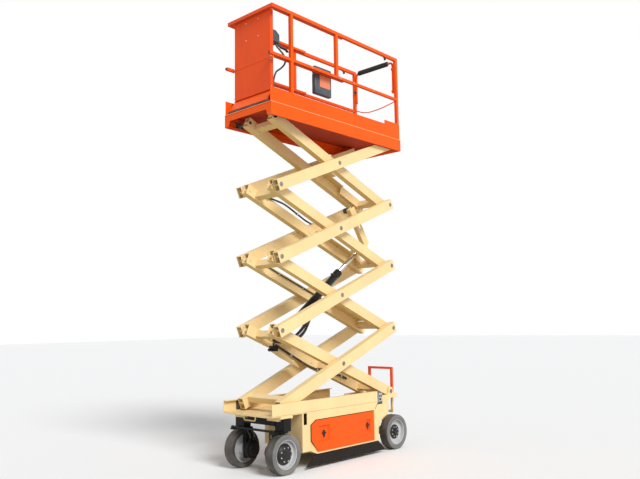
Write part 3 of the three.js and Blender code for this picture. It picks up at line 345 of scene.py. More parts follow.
def finish_piece(name, bm, coat, body, bevel=0.0, steps=2):
    """Closes a mesh up as an object that rides on a body, with its edges rounded if asked."""
    crease = 0.6
    bmesh.ops.remove_doubles(bm, verts=bm.verts[:], dist=1e-5)
    bmesh.ops.recalc_face_normals(bm, faces=bm.faces[:])
    for face in bm.faces:
        face.smooth = True
    for edge in bm.edges:
        edge.smooth = edge.calc_face_angle(0.0) < crease
    mesh = bpy.data.meshes.new(name)
    bm.to_mesh(mesh)
    bm.free()
    mesh.materials.append(coat)
    made = bpy.data.objects.new(name, mesh)
    bpy.context.scene.collection.objects.link(made)
    if bevel:
        rounded = made.modifiers.new("rounded", "BEVEL")
        rounded.width = bevel
        rounded.segments = steps
        rounded.limit_method = "ANGLE"
        rounded.angle_limit = math.radians(40)
    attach(made, body)
    return made


# ---- Tray bay frame and stiffeners ----
# Folded steel lips round the left tray's bay, with the upper one carried forward along the deck's side.
# They are welded to the chassis skin and sprayed with it.
lip_back, lip_face, bent_face = 0.372, 0.3775, 0.379
bm = bmesh.new()
add_box(bm, (-0.50, lip_back, 0.17), (-0.481, lip_face, 0.497))
add_box(bm, (-0.50, lip_back, 0.505), (0.52, lip_face, 0.511))
add_slab(bm, "y", (
    (0.4895, 0.166), (0.4955, 0.162), (0.6095, 0.287), (0.6095, 0.460), (0.5275, 0.5105), (0.5225, 0.5045),
    (0.6035, 0.458), (0.6035, 0.290)), lip_back, bent_face)
finish_piece("bay_frame_lips", bm, cream, "chassis", 0.0015)

# ---- Tie-down loop ----
# A round steel bar bent into a shallow hoop that hangs under the deck's front edge for a lashing strap.
# Both of its ends are welded to the deck, and it is sprayed with the chassis.
deck_front = 1.1167
loop_points = [(deck_front, y, z) for y, z in (
    (-0.086, 0.5845), (-0.086, 0.560), (-0.0855, 0.545), (-0.078, 0.534), (-0.06, 0.5318), (0.0, 0.5318),
    (0.06, 0.5318), (0.078, 0.534), (0.0855, 0.545), (0.086, 0.560), (0.086, 0.5845))]
loop, _ = cord_piece("tie_down_bar", loop_points, 0.0068, cream, 4)
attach(loop, "chassis")
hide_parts("tie_down_loop")

# ---- Ladder ----
# Square steel tube welded into a hoop with rungs, bolted to the chassis' rear.
# The part above the deck is sprayed orange, and the rest is the chassis' cream.


def object_axis(tree, axis):
    """How far along one axis of the object a point lies."""
    spot = wire(tree, "ShaderNodeTexCoord").outputs["Object"]
    return wire(tree, "ShaderNodeSeparateXYZ", i0=spot).outputs[axis]


orange_paint, orange_shade = (0.93, 0.105, 0.003), (0.42, 0.05, 0.012)
ladder_cream = (0.87, 0.66, 0.32)
colour_change = 0.655
ladder_coat = painted("ladder_coat", orange_paint, orange_shade)
tree = ladder_coat.node_tree
film = next(n for n in tree.nodes if n.type == "GROUP")
above = calc(tree, "GREATER_THAN", object_axis(tree, "Z"), colour_change)
tree.links.new(blended(tree, above, (*ladder_cream, 1), (*orange_paint, 1)), film.inputs["Color"])
recoat(ladder_coat, "rear_ladder")

# ---- Pin heads ----
# Each arm pin ends in a turned steel disc that is let into the outer arm's face, plated with dark zinc.
# A hexagon keeper bolt holds its middle and four small screws its rim.
tree, given, out = shader_group(
    "turned_metal",
    [("Vector", "Vector", None), ("Color", "Color", None), ("Gloss", "Float", 0.35), ("Grime", "Float", 0.3)],
    [("Color", "Color"), ("Roughness", "Float"), ("Height", "Float")])
patch = wire(tree, "ShaderNodeTexNoise", Vector=given["Vector"], Scale=26.0, Detail=4.0).outputs[0]
turned = wire(tree, "ShaderNodeMapping", Vector=given["Vector"], Scale=(1.0, 40.0, 1.0)).outputs[0]
scratch = wire(tree, "ShaderNodeTexNoise", Vector=turned, Scale=60.0, Detail=2.0).outputs[0]
grime = calc(tree, "MULTIPLY", spread(tree, patch, 0.45, 0.65), given["Grime"])
old_grease = (0.06, 0.045, 0.03, 1)
tree.links.new(blended(tree, grime, given["Color"], old_grease), out["Color"])
tree.links.new(calc(tree, "ADD", given["Gloss"], calc(tree, "MULTIPLY", grime, 0.5)), out["Roughness"])
tree.links.new(scratch, out["Height"])


def metal(name, colour, gloss=0.35, grime=0.3, bump=0.1):
    """Material of a bare or plated metal piece."""
    coat, tree, spot = start_coat(name)
    face = wire(tree, "ShaderNodeGroup", {"node_tree": bpy.data.node_groups["turned_metal"]}, Vector=spot,
                Color=(*colour, 1), Gloss=gloss, Grime=grime)
    link_coat(tree, face, bump, 0.0005).inputs["Metallic"].default_value = 1.0
    return coat


zinc = metal("zinc_plate", (0.34, 0.33, 0.31), gloss=0.42, grime=0.5)
pin_x, lowest_pin = -0.961, 0.677
slope, stage_rise, half_arm = math.radians(22), 0.77319, 1.032
outer_arm_face, rear_pin_face = 0.3328, 0.2655
head_radius, screw_circle = 0.0255, 0.0185


def on_arm(stage, kind, along, off, y):
    """A place on an arm: along it from its rear pin, off to its upper side, and across."""
    turn = slope if kind == "inner" else -slope
    rear = lowest_pin + (stage - 1 if kind == "inner" else stage) * stage_rise
    return Vector((pin_x + along * math.cos(turn) - off * math.sin(turn), y,
                   rear + along * math.sin(turn) + off * math.cos(turn)))


for stage in range(1, 5):
    bm = bmesh.new()
    places = [half_arm] + ([0.0] if stage < 4 else []) + ([2 * half_arm] if stage > 1 else [])
    for along in places:
        for side in (1, -1):
            face = on_arm(stage, "outer", along, 0, side * outer_arm_face)
            outward = Vector((0, side, 0))
            add_rod(bm, face, face + outward * 0.0012, head_radius, 32, head_radius - 0.001)
            add_rod(bm, face + outward * 0.0012, face + outward * 0.0026, 0.009, 6)
            for quarter in range(4):
                turn = quarter * math.pi / 2 + 0.5
                screw = face + Vector((math.cos(turn), 0, math.sin(turn))) * screw_circle
                add_rod(bm, screw + outward * 0.001, screw + outward * 0.0022, 0.003, 8)
    finish_piece(f"pin_heads_{stage}", bm, zinc, f"outer_{stage}")
bm = bmesh.new()
for side in (1, -1):
    face = Vector((pin_x, side * rear_pin_face, lowest_pin))
    outward = Vector((0, side, 0))
    add_rod(bm, face, face + outward * 0.003, head_radius, 32)
    add_rod(bm, face + outward * 0.003, face + outward * 0.009, 0.009, 6)
finish_piece("pin_heads_rear", bm, zinc, "chassis")

# ---- Tyres ----
# Solid rubber, cured on in one piece, that leaves no mark on a floor.
# The tread is worn dark and the sidewalls are paler, with a raised ring next to the rim.
tread_black, wall_grey = (0.058, 0.050, 0.045), (0.16, 0.157, 0.152)
tread = moulded("tyre_rubber", tread_black, grain=180.0, gloss=0.62, dust=0.3, bump=0.45)
tree = tread.node_tree
skin = next(n for n in tree.nodes if n.type == "GROUP")
outwards = wire(tree, "ShaderNodeMath", {"operation": "ABSOLUTE"}, i0=object_axis(tree, "Y")).outputs[0]
wall = spread(tree, outwards, 0.3695, 0.3745)
tree.links.new(blended(tree, wall, (*tread_black, 1), (*wall_grey, 1)), skin.inputs["Color"])
tyre_profile = (
    (0.1497, 0.006), (0.160, 0.003), (0.178, 0.0015), (0.190, 0.002), (0.1985, 0.006), (0.2029, 0.014),
    (0.2029, 0.111), (0.1985, 0.119), (0.190, 0.1235), (0.178, 0.1243), (0.169, 0.1238), (0.167, 0.1215),
    (0.158, 0.1212), (0.156, 0.1225), (0.1497, 0.1215))
axle_height, wheel_inside = 0.203, 0.255
front_axle_x, rear_axle_x = 0.947, -0.918
wheels = [(f"{end}_{hand}", Vector((x, side * wheel_inside, axle_height)), side)
          for end, x in (("front", front_axle_x), ("rear", rear_axle_x))
          for hand, side in (("left", 1), ("right", -1))]
for name, hub, side in wheels:
    bm = bmesh.new()
    add_lathe(bm, tyre_profile, hub, (0, side, 0), 96, True)
    tyre = finish_piece(f"tyre_body_{name}", bm, tread, f"wheel_{name}")
    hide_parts(f"tyre_{name}")

# ---- Rims and hubs ----
# Cast wheel centres in grey enamel. The driven front wheels carry a domed black hub with plated nuts,
# and the rear wheels a flat black bearing cap inside a ring of nuts.
rim_coat = painted("rim_enamel", (0.52, 0.53, 0.54), (0.20, 0.18, 0.15),
                   gloss=0.3, soil=0.35, radius=0.002)
hub_coat = painted("hub_black", (0.014, 0.014, 0.015), (0.10, 0.085, 0.07),
                   gloss=0.34, soil=0.35, radius=0.002)
nut_coat = metal("wheel_nut", (0.62, 0.62, 0.63), gloss=0.28, grime=0.3)
rim_profile = (
    (0.0212, 0.006), (0.060, 0.006), (0.066, 0.020), (0.078, 0.040), (0.120, 0.046), (0.133, 0.040),
    (0.138, 0.012), (0.1494, 0.012), (0.1494, 0.115), (0.143, 0.1175), (0.138, 0.114), (0.1345, 0.090),
    (0.130, 0.080), (0.120, 0.0760), (0.109, 0.0743), (0.0212, 0.0743))
driven_hub = (
    (0.0, 0.117), (0.022, 0.1165), (0.026, 0.112), (0.050, 0.109), (0.072, 0.101), (0.086, 0.089),
    (0.096, 0.0785), (0.108, 0.0775), (0.108, 0.0745), (0.0, 0.0745))
bearing_cap = (
    (0.0, 0.104), (0.020, 0.104), (0.030, 0.100), (0.033, 0.086), (0.078, 0.084), (0.084, 0.080),
    (0.0845, 0.0742), (0.0, 0.0742))
nuts_to_a_wheel, nut_radius, stud_radius = 8, 0.0085, 0.0045
for name, hub, side in wheels:
    driven = name.startswith("front")
    bm = bmesh.new()
    add_lathe(bm, rim_profile, hub, (0, side, 0), 80, True)
    rim = finish_piece(f"rim_body_{name}", bm, rim_coat, f"wheel_{name}")
    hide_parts(f"rim_{name}")
    bm = bmesh.new()
    add_lathe(bm, driven_hub if driven else bearing_cap, hub, (0, side, 0), 64)
    finish_piece(f"hub_{name}", bm, hub_coat, f"wheel_{name}")
    bm = bmesh.new()
    circle, start, length = (0.071, 0.100, 0.010) if driven else (0.058, 0.0838, 0.008)
    for nut in range(nuts_to_a_wheel):
        angle = (nut + 0.5) * 2 * math.pi / nuts_to_a_wheel
        seat = hub + Vector((math.cos(angle) * circle, side * start, math.sin(angle) * circle))
        add_rod(bm, seat, seat + Vector((0, side * length, 0)), nut_radius, 6)
        add_rod(bm, seat, seat + Vector((0, side * (length + 0.004), 0)), stud_radius, 12)
    finish_piece(f"wheel_nuts_{name}", bm, nut_coat, f"wheel_{name}")

# ---- Steering axle ----
# A box beam and cast knuckles, painted black. A hydraulic motor with a bolted flange and two ports
# drives each wheel, and rubber hoses rise from its ports.
axle_coat = painted("axle_black", (0.006, 0.006, 0.006), (0.035, 0.028, 0.022), gloss=0.45, radius=0.004)
recoat(axle_coat, "front_axle", "knuckle_left", "knuckle_right", "tie_rod")
motor_y, port_x, flange_bolts = 0.198, 0.030, 10
motor_profile = (
    (0.0, -0.0915), (0.060, -0.0915), (0.068, -0.086), (0.070, -0.066), (0.090, -0.062), (0.0945, -0.057),
    (0.0945, -0.022), (0.090, -0.0185), (0.0825, -0.017), (0.0825, -0.0006), (0.0, -0.0006))
for name, side in (("left", 1), ("right", -1)):
    bm = bmesh.new()
    hub = Vector((front_axle_x, side * motor_y, axle_height))
    add_lathe(bm, motor_profile, hub, (0, side, 0), 64)
    for bolt in range(flange_bolts):
        angle = bolt * 2 * math.pi / flange_bolts
        seat = hub + Vector((math.cos(angle) * 0.08, side * -0.0625, math.sin(angle) * 0.08))
        add_rod(bm, seat, seat + Vector((0, side * -0.008, 0)), 0.006, 6)
    for x in (-port_x, port_x):
        add_rod(bm, hub + Vector((x, side * -0.045, 0.07)), hub + Vector((x, side * -0.045, 0.118)), 0.011, 6)
    motor = finish_piece(f"drive_motor_body_{name}", bm, axle_coat, f"knuckle_{name}")
    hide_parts(f"drive_motor_{name}")
rubber = moulded("hose_rubber", (0.013, 0.013, 0.014), grain=260.0, gloss=0.42, dust=0.25, bump=0.35)


def fixed_hose(name, points, radius, body):
    """A hose that is clipped down along its whole way on one body."""
    made, _ = cord_piece(name, points, radius, rubber, 6)
    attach(made, body)


for name, side in (("left", 1), ("right", -1)):
    for mark, x in (("a", front_axle_x - port_x), ("b", front_axle_x + port_x)):
        fixed_hose(f"motor_hose_{name}_{mark}", [
            (x, side * 0.153, 0.318), (x, side * 0.153, 0.345), (x + 0.008, side * 0.158, 0.368),
            (x + 0.012, side * 0.17, 0.39), (x + 0.006, side * 0.186, 0.405)], 0.009, f"knuckle_{name}")

# ---- Axle covers ----
# Gusset plates over the kingpin housings, with a bolted cover strip behind the deck's front edge,
# cut from steel sheet, welded to the deck's underside and sprayed with it.
under_deck, gusset_x, strip_front = 0.5605, 0.862, 1.034
bm = bmesh.new()
for side in (1, -1):
    add_slab(bm, "y", ((gusset_x, under_deck), (0.868, under_deck), (0.883, 0.44), (gusset_x, 0.44)),
             side * 0.30, side * 0.306)
    add_box(bm, (gusset_x, side * 0.25, 0.553), (0.8865, side * 0.37, under_deck))
    add_box(bm, (0.9945, side * 0.17, 0.5355), (strip_front, side * 0.335, under_deck))
    for y in (0.19, 0.25, 0.315):
        add_rod(bm, (strip_front, side * y, 0.548), (strip_front + 0.005, side * y, 0.548), 0.008, 6)
finish_piece("axle_gussets", bm, cream, "chassis", 0.001)

# ---- Tray doors ----
# Swing-out tray fronts pressed from steel sheet: a broad chamfered rim, two sunk pockets with latches,
# and a folded sill that carries the tray. Orange powder coat, with black moulded T latches.
# The left tray carries four batteries, and the right one the pump, its motor and the oil tank.
door_coat = painted("door_orange", (0.93, 0.10, 0.0025), (0.42, 0.05, 0.008),
                    gloss=0.36, soil=0.3, radius=0.004)
latch_coat = moulded("latch_plastic", (0.012, 0.012, 0.013), grain=500.0, gloss=0.4, dust=0.15)
tray_coat = painted("tray_black", (0.02, 0.019, 0.018), (0.10, 0.085, 0.07), gloss=0.5)
door_skin, door_back, door_foot, door_top = 0.3655, -0.4715, 0.1655, 0.4965
tray_floor, battery_top, oil_y = 0.1805, 0.432, -0.225
for name, side, front, load in (("left", 1, 0.594, "battery"), ("right", -1, 0.434, "power")):
    outline = ((front - 0.006, 0.2935), (front - 0.006, 0.4545), (front - 0.0805, door_top),
               (door_back, door_top), (door_back, door_foot), (front - 0.1145, door_foot))
    pockets = ((front - 0.299, front - 0.119, 0.268, 0.430), (-0.404, -0.314, 0.281, 0.411))
    bm = bmesh.new()
    corners = outline if side > 0 else outline[::-1]
    face = bm.faces.new([bm.verts.new((x, side * door_skin, z)) for x, z in corners])
    bmesh.ops.inset_region(bm, faces=[face], thickness=0.013)
    bmesh.ops.translate(bm, verts=face.verts[:], vec=(0, side * 0.012, 0))
    for x0, x1, z0, z1 in pockets:
        for spot, way in (((x0, 0, 0), (1, 0, 0)), ((x1, 0, 0), (1, 0, 0)),
                          ((0, 0, z0), (0, 0, 1)), ((0, 0, z1), (0, 0, 1))):
            everything = bm.verts[:] + bm.edges[:] + bm.faces[:]
            bmesh.ops.bisect_plane(bm, geom=everything, plane_co=spot, plane_no=way)
    for x0, x1, z0, z1 in pockets:
        sunk = []
        for face in bm.faces:
            middle = face.calc_center_median()
            if x0 < middle.x < x1 and z0 < middle.z < z1:
                sunk.append(face)
        bmesh.ops.inset_region(bm, faces=sunk, thickness=0.010)
        sunk_verts = list({v for f in sunk for v in f.verts})
        bmesh.ops.translate(bm, verts=sunk_verts, vec=(0, side * -0.016, 0))
    bmesh.ops.recalc_face_normals(bm, faces=bm.faces[:])
    if max(bm.faces, key=lambda f: f.calc_area()).normal.y * side < 0:
        bmesh.ops.reverse_faces(bm, faces=bm.faces[:])
    bmesh.ops.solidify(bm, geom=bm.faces[:], thickness=0.002)
    for reach, near, far in ((0.170, 0.094, 0.299), (0.127, 0.298, 0.366)):
        add_box(bm, (-0.456, side * near, door_foot), (front - reach, side * far, door_foot + 0.007))
    add_rod(bm, (-0.466, side * 0.370, door_foot), (-0.466, side * 0.370, 0.5025), 0.0058, 16)
    door = finish_piece(f"tray_door_panel_{name}", bm, door_coat, f"tray_{name}", 0.0012)
    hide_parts(f"tray_door_{name}")
    bm = bmesh.new()
    for x0, x1, z0, z1 in pockets:
        x, z = (x0 + x1) / 2, (z0 + z1) / 2
        add_rod(bm, (x, side * 0.3612, z), (x, side * 0.3700, z), 0.011, 24)
        add_box(bm, (x - 0.009, side * 0.3680, z - 0.040), (x + 0.009, side * 0.3788, z + 0.034))
        add_box(bm, (x - 0.028, side * 0.3680, z - 0.006), (x + 0.028, side * 0.3788, z + 0.012))
    finish_piece(f"door_latches_{name}", bm, latch_coat, f"tray_{name}", 0.002)
    bm = bmesh.new()
    if load == "battery":
        for step in range(4):
            x = -0.430 + step * 0.2155
            add_box(bm, (x, 0.106, tray_floor), (x + 0.205, 0.340, battery_top - 0.012))
            add_box(bm, (x + 0.003, 0.109, battery_top - 0.012), (x + 0.202, 0.337, battery_top))
            for cap in range(3):
                cap_x = x + 0.04 + cap * 0.06
                add_rod(bm, (cap_x, 0.16, battery_top), (cap_x, 0.16, battery_top + 0.013), 0.016, 16)
            for post_x in (x + 0.03, x + 0.175):
                add_rod(bm, (post_x, 0.30, battery_top), (post_x, 0.30, battery_top + 0.021), 0.009, 12)
    else:
        add_box(bm, (-0.430, -0.340, tray_floor), (-0.14, -0.110, 0.400))
        add_rod(bm, (-0.30, oil_y, 0.400), (-0.30, oil_y, 0.435), 0.03, 24)
        add_rod(bm, (-0.10, oil_y, 0.29), (0.12, oil_y, 0.29), 0.082, 40)
        add_rod(bm, (0.12, oil_y, 0.29), (0.15, oil_y, 0.29), 0.062, 40, 0.05)
        add_box(bm, (0.15, -0.30, 0.205), (0.262, -0.15, 0.375))
        add_box(bm, (-0.12, -0.31, tray_floor), (0.25, -0.14, 0.207))
        for valve in range(4):
            valve_x = 0.175 + valve * 0.022
            add_rod(bm, (valve_x, -0.30, 0.375), (valve_x, -0.30, 0.40), 0.008, 12)
    load_coat = latch_coat if load == "battery" else tray_coat
    packed = finish_piece(f"{load}_block", bm, load_coat, f"tray_{name}", 0.003)
    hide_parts("battery_pack" if load == "battery" else "power_unit")

# ---- Pothole guards ----
# Flat steel bars hinged along both sides that drop close to the ground when the machine rises.
# They are painted black, and road dirt dulls them to brown.
guard_coat = painted("guard_black", (0.011, 0.009, 0.008), (0.035, 0.027, 0.021), gloss=0.6, soil=0.5)
recoat(guard_coat, "pothole_guard_left", "pothole_guard_right")

# ---- Slide blocks ----
# Black nylon blocks that carry the sliding arm ends in their rails, machined from bar.
# Their faces are greased, and each is pinned to its arm end.
nylon = moulded("slide_nylon", (0.014, 0.014, 0.015), grain=300.0, gloss=0.45, dust=0.3)
recoat(nylon, "lower_slide_block_left", "lower_slide_block_right", "upper_slide_block_left",
       "upper_slide_block_right")

# ---- Lift cylinder ----
# A welded steel barrel in black enamel with a screwed gland, and a hard chrome rod that slides in it.
# Each end has an eye that turns on a pin between two of the inner frames.
foot = Vector((0.6987, 0, 1.3475))
thrust = Vector((-0.7931, 0, 0.6091))
over = Vector((0.6091, 0, 0.7931))
eye_half, rod_eye = 0.0485, 1.7564
barrel_coat = painted("barrel_black", (0.012, 0.012, 0.0125), (0.10, 0.085, 0.07), gloss=0.3, soil=0.3)
barrel_profile = (
    (0.0, 0.021), (0.038, 0.021), (0.0448, 0.036), (0.0448, 0.070), (0.0425, 0.073), (0.0425, 0.078),
    (0.0448, 0.081), (0.0448, 1.195), (0.0425, 1.199), (0.0425, 1.226), (0.0495, 1.230), (0.0495, 1.284),
    (0.0455, 1.2895), (0.0300, 1.2895), (0.0268, 1.286), (0.0268, 0.112), (0.0, 0.112))
bm = bmesh.new()
add_lathe(bm, barrel_profile, foot, thrust, 56)
add_rod(bm, foot + Vector((0, -eye_half, 0)), foot + Vector((0, eye_half, 0)), 0.0398, 40)
for along in (0.095, 1.17):
    port = foot + thrust * along + over * 0.040
    add_rod(bm, port, port + over * 0.022, 0.014, 6)
barrel = finish_piece("lift_barrel", bm, barrel_coat, "cylinder_barrel")
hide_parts("cylinder_barrel")
chrome = metal("hard_chrome", (0.78, 0.78, 0.79), gloss=0.1, grime=0.06, bump=0.02)
rod_profile = (
    (0.0, 0.577), (0.023, 0.577), (0.0249, 0.580), (0.0249, 1.700), (0.030, 1.712), (0.030, 1.735),
    (0.0, 1.735))
bm = bmesh.new()
add_lathe(bm, rod_profile, foot, thrust, 48)
eye = foot + thrust * rod_eye
for half, radius, sides in ((eye_half, 0.0358, 40), (eye_half + 0.005, 0.0195, 24)):
    add_rod(bm, eye + Vector((0, -half, 0)), eye + Vector((0, half, 0)), radius, sides)
rod = finish_piece("lift_rod", bm, chrome, "cylinder_rod")
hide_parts("cylinder_rod")

# ---- Hoses and valve ----
# Rubber hoses held along the insides of the inner arms and beside the cylinder by plated steel clips.
# A black block at the cylinder's foot holds the lowering valve, with its screwed ports and solenoid.
clip_coat = metal("clip_steel", (0.55, 0.55, 0.55), gloss=0.35, grime=0.4)


def arm_hose(name, body, radius, y, spots, clips):
    """A hose through (x, z) spots at one y, with a clip round it at each named spot."""
    fixed_hose(name, [(x, y, z) for x, z in spots], radius, body)
    ring = radius + 0.0015
    bm = bmesh.new()
    for x, z in clips:
        add_rod(bm, (x, y - ring, z), (x, y + ring, z), radius + 0.003, 20)
        add_box(bm, (x - 0.007, y, z - 0.004), (x + 0.007, y * 1.075, z + 0.004))
    finish_piece(f"{name}_clips", bm, clip_coat, body, 0.001)


arm_hose("hose_upper_arm", "inner_3", 0.011, -0.148, (
    (0.78, 2.953), (0.707, 2.947), (0.57, 2.925), (0.43, 2.893), (0.233, 2.806), (0.10, 2.745),
    (-0.006, 2.711)), ((0.707, 2.947), (0.233, 2.806), (-0.006, 2.711)))
arm_hose("hose_lower_arm", "inner_1", 0.013, -0.146, (
    (0.60, 1.285), (0.529, 1.25), (0.36, 1.165), (0.211, 1.09), (0.06, 1.02), (-0.075, 0.975), (-0.23, 0.935),
    (-0.395, 0.904), (-0.50, 0.878), (-0.60, 0.838)), ((0.36, 1.165), (-0.075, 0.975), (-0.50, 0.878)))
arm_hose("hose_middle_arm", "inner_2", 0.008, -0.150, (
    (0.76, 2.182), (0.721, 2.166), (0.53, 2.085), (0.344, 2.011), (0.146, 1.937), (-0.025, 1.87),
    (-0.16, 1.815)), ((0.53, 2.085), (0.146, 1.937)))


def barrel_hose(name, radius, y, spots):
    """A hose beside the barrel through (distance along it, distance over it) spots at one y."""
    fixed_hose(name, [foot + thrust * along + over * lift + Vector((0, y, 0)) for along, lift in spots],
               radius, "cylinder_barrel")


for mark, y, radius in (("a", 0.060, 0.009), ("b", 0.080, 0.007)):
    barrel_hose(f"cylinder_hose_{mark}", radius, y, (
        (0.02, -0.02), (0.10, 0.012), (0.20, 0.02), (0.32, 0.014), (0.44, 0.018), (0.52, 0.0)))
for mark, y, sag in (("a", -0.034, 0.15), ("b", -0.010, 0.19), ("c", 0.014, 0.165), ("d", 0.038, 0.12)):
    barrel_hose(f"cylinder_loop_{mark}", 0.0125, y, (
        (0.06, -0.042), (0.13, -0.090), (0.26, -sag), (0.42, -sag), (0.58, -0.10), (0.72, -0.050)))
clamp_profile = ((0.0452, -0.009), (0.0475, -0.009), (0.0475, 0.009), (0.0452, 0.009))
clamp_turn = Matrix.Rotation(math.atan2(over.x, over.z), 4, "Y")
bm = bmesh.new()
for along in (0.22, 0.42):
    ring = foot + thrust * along
    add_lathe(bm, clamp_profile, ring, thrust, 40, True)
    add_box(bm, ring + Vector((-0.009, 0.045, 0.006)), ring + Vector((0.009, 0.092, 0.030)), clamp_turn)
finish_piece("cylinder_clamps", bm, clip_coat, "cylinder_barrel", 0.001)
block_rear, block_front, block_foot, block_top, coil_y = 0.735, 0.805, 1.225, 1.285, 0.01
block_x = (block_rear + block_front) / 2
bm = bmesh.new()
add_box(bm, (block_rear, -0.035, block_foot), (block_front, 0.035, block_top))
add_rod(bm, (block_x, 0.0, block_top), (block_x, 0.0, block_top + 0.030), 0.012, 6)
add_rod(bm, (block_front, coil_y, 1.250), (0.840, coil_y, 1.238), 0.010, 20)
add_rod(bm, (0.838, coil_y, 1.246), (0.852, coil_y, 1.238), 0.017, 24)
add_rod(bm, (0.70, 0.0, 1.258), (block_rear, 0.0, 1.258), 0.011, 6)
finish_piece("lowering_valve", bm, barrel_coat, "inner_1", 0.002)

# ---- Valve guard ----
# A steel plate cut to a long taper that hangs under the lowest frame and shields the valve and hoses.
# It is welded to the frame at its wide end and sprayed with it.
guard_outline = [on_arm(1, "inner", along, off, 0) for along, off in (
    (1.745, -0.068), (1.745, -0.118), (1.60, -0.135), (1.27, -0.146), (1.25, -0.138), (1.30, -0.112),
    (1.55, -0.070))]
bm = bmesh.new()
add_slab(bm, "y", [(spot.x, spot.z) for spot in guard_outline], -0.128, -0.120)
finish_piece("valve_guard", bm, cream, "inner_1", 0.001)

# ---- Prop roller ----
# A rubber roller with rounded shoulders on the free end of the safety prop.
# It turns on a short pin whose head shows at one side.
roller_profile = (
    (0.0, 0.0142), (0.029, 0.0142), (0.0335, 0.018), (0.0349, 0.024), (0.0349, 0.080), (0.0335, 0.086),
    (0.029, 0.0898), (0.0099, 0.0898), (0.0099, 0.1038), (0.0, 0.1038))
prop_end = (-0.439, 0, 2.895)
bm = bmesh.new()
add_lathe(bm, roller_profile, prop_end, (0, 1, 0), 48)
roller = finish_piece("prop_wheel", bm, rubber, "safety_prop")
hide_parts("prop_roller")

# ---- Platform base ----
# Folded steel channels and skirts under a welded floor sheet, sprayed orange, with a painted highlight along
# the floor's edge and painted shade on faces that look down. Plated bolts go through both side channels.
base_shade, underside_shade, ledge_highlight = (0.42, 0.05, 0.008), (0.30, 0.018, 0.003), (1.0, 0.46, 0.22)
orange = painted("orange_coat", orange_paint, base_shade, gloss=0.36, soil=0.25)
base_coat = painted("platform_coat", orange_paint, base_shade, gloss=0.36, soil=0.25)
tree = base_coat.node_tree
film = next(n for n in tree.nodes if n.type == "GROUP")
flat = wire(tree, "ShaderNodeNewGeometry").outputs["Normal"]
facing = wire(tree, "ShaderNodeSeparateXYZ", i0=flat).outputs["Z"]
rise = object_axis(tree, "Z")
# A thin band at the floor's edge is painted pale as a highlight, and faces that look down are painted darker
# as shade.
ledge_highlight_band = calc(tree, "MULTIPLY", calc(tree, "GREATER_THAN", rise, 3.8575), calc(tree, "LESS_THAN", rise, 3.863))
under = blended(tree, spread(tree, facing, -0.4, -0.9), (*orange_paint, 1), (*underside_shade, 1))
tree.links.new(blended(tree, ledge_highlight_band, under, (*ledge_highlight, 1)), film.inputs["Color"])
recoat(base_coat, "platform_frame")
recoat(orange, "extension_deck")
bolt_coat = metal("bolt_zinc", (0.60, 0.60, 0.58), gloss=0.3, grime=0.25)
channel_face, bolt_height = 0.374, 3.79
bm = bmesh.new()
for side in (1, -1):
    for x in (0.06, 0.30, 0.62, -0.20, -0.62, -1.05):
        add_rod(bm, (x, side * channel_face, bolt_height), (x, side * 0.3798, bolt_height), 0.010, 6)
finish_piece("platform_bolts", bm, bolt_coat, "platform")

# ---- Guardrails ----
# Square steel tube welded to sheet toe boards and sprayed orange, with plated pins through the mid rail.
# A clamp on each top rail is tightened from below with a black knob to hold the sliding rail,
# and a plastic plug closes the mid rail's front end.
recoat(orange, "guardrail_left", "guardrail_right")
knob_coat = moulded("knob_plastic", (0.012, 0.012, 0.013), grain=500.0, gloss=0.35, dust=0.1)
clamp_x, clamp_y, clamp_foot, rail_face = -0.91, 0.349, 4.9155, 0.3675
mid_rail, pin_face = 4.402, 0.3705
for name, side in (("left", 1), ("right", -1)):
    pins = bmesh.new()
    for x in (0.49, -0.005, -0.245, -0.63):
        add_rod(pins, (x, side * 0.368, mid_rail), (x, side * pin_face, mid_rail), 0.010, 16)
        add_rod(pins, (x, side * pin_face, mid_rail), (x, side * 0.3745, mid_rail), 0.0065, 6)
    finish_piece(f"rail_pins_{name}", pins, bolt_coat, "platform")
    bm = bmesh.new()
    add_box(bm, (clamp_x - 0.022, side * 0.3302, clamp_foot), (clamp_x + 0.022, side * rail_face, 4.9235))
    finish_piece(f"rail_clamps_{name}", bm, orange, "platform", 0.001)
    knobs = bmesh.new()
    add_rod(knobs, (clamp_x, side * clamp_y, clamp_foot), (clamp_x, side * clamp_y, 4.904), 0.008, 12)
    add_rod(knobs, (clamp_x, side * clamp_y, 4.904), (clamp_x, side * clamp_y, 4.884), 0.017, 20, 0.014)
    add_box(knobs, (1.1402, side * 0.3435, 4.390), (1.1475, side * rail_face, 4.413))
    finish_piece(f"rail_knobs_{name}", knobs, knob_coat, "platform", 0.002)

# ---- Swing gate ----
# A steel tube bent into a hoop that turns in two sleeves beside the left rear post, with a latch knob.
# An oval grip of black foam is pushed over its top bar.
hinge_y, latch_y, top_bar = 0.306, -0.310, 4.925
hoop = [(way_in, y, z) for y, z in (
    (hinge_y, 4.503), (hinge_y, 4.62), (hinge_y, 4.80), (hinge_y, 4.865), (0.302, 4.895), (0.287, 4.916),
    (0.262, 4.924), (0.22, top_bar), (0.0, top_bar), (-0.22, top_bar), (-0.266, 4.924), (-0.291, 4.916),
    (-0.306, 4.895), (latch_y, 4.865), (latch_y, 4.80), (latch_y, 4.62), (latch_y, 4.503))]
gate, _ = cord_piece("gate_hoop", hoop, 0.0138, orange, 5)
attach(gate, "swing_gate")
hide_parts("swing_gate")
bm = bmesh.new()
for z in (4.532, 4.832):
    add_rod(bm, (way_in, hinge_y, z - 0.012), (way_in, hinge_y, z + 0.012), 0.0225, 32)
finish_piece("gate_hinges", bm, orange, "swing_gate", 0.001)
foam = moulded("foam_grip", (0.006, 0.0055, 0.005), grain=220.0, gloss=0.75, dust=0.05, bump=0.5)
grip_profile = (
    (0.0, -0.250), (0.030, -0.250), (0.0335, -0.244), (0.034, -0.235), (0.034, 0.230), (0.0335, 0.243),
    (0.030, 0.250), (0.0, 0.250))
grip_flatness = 0.62
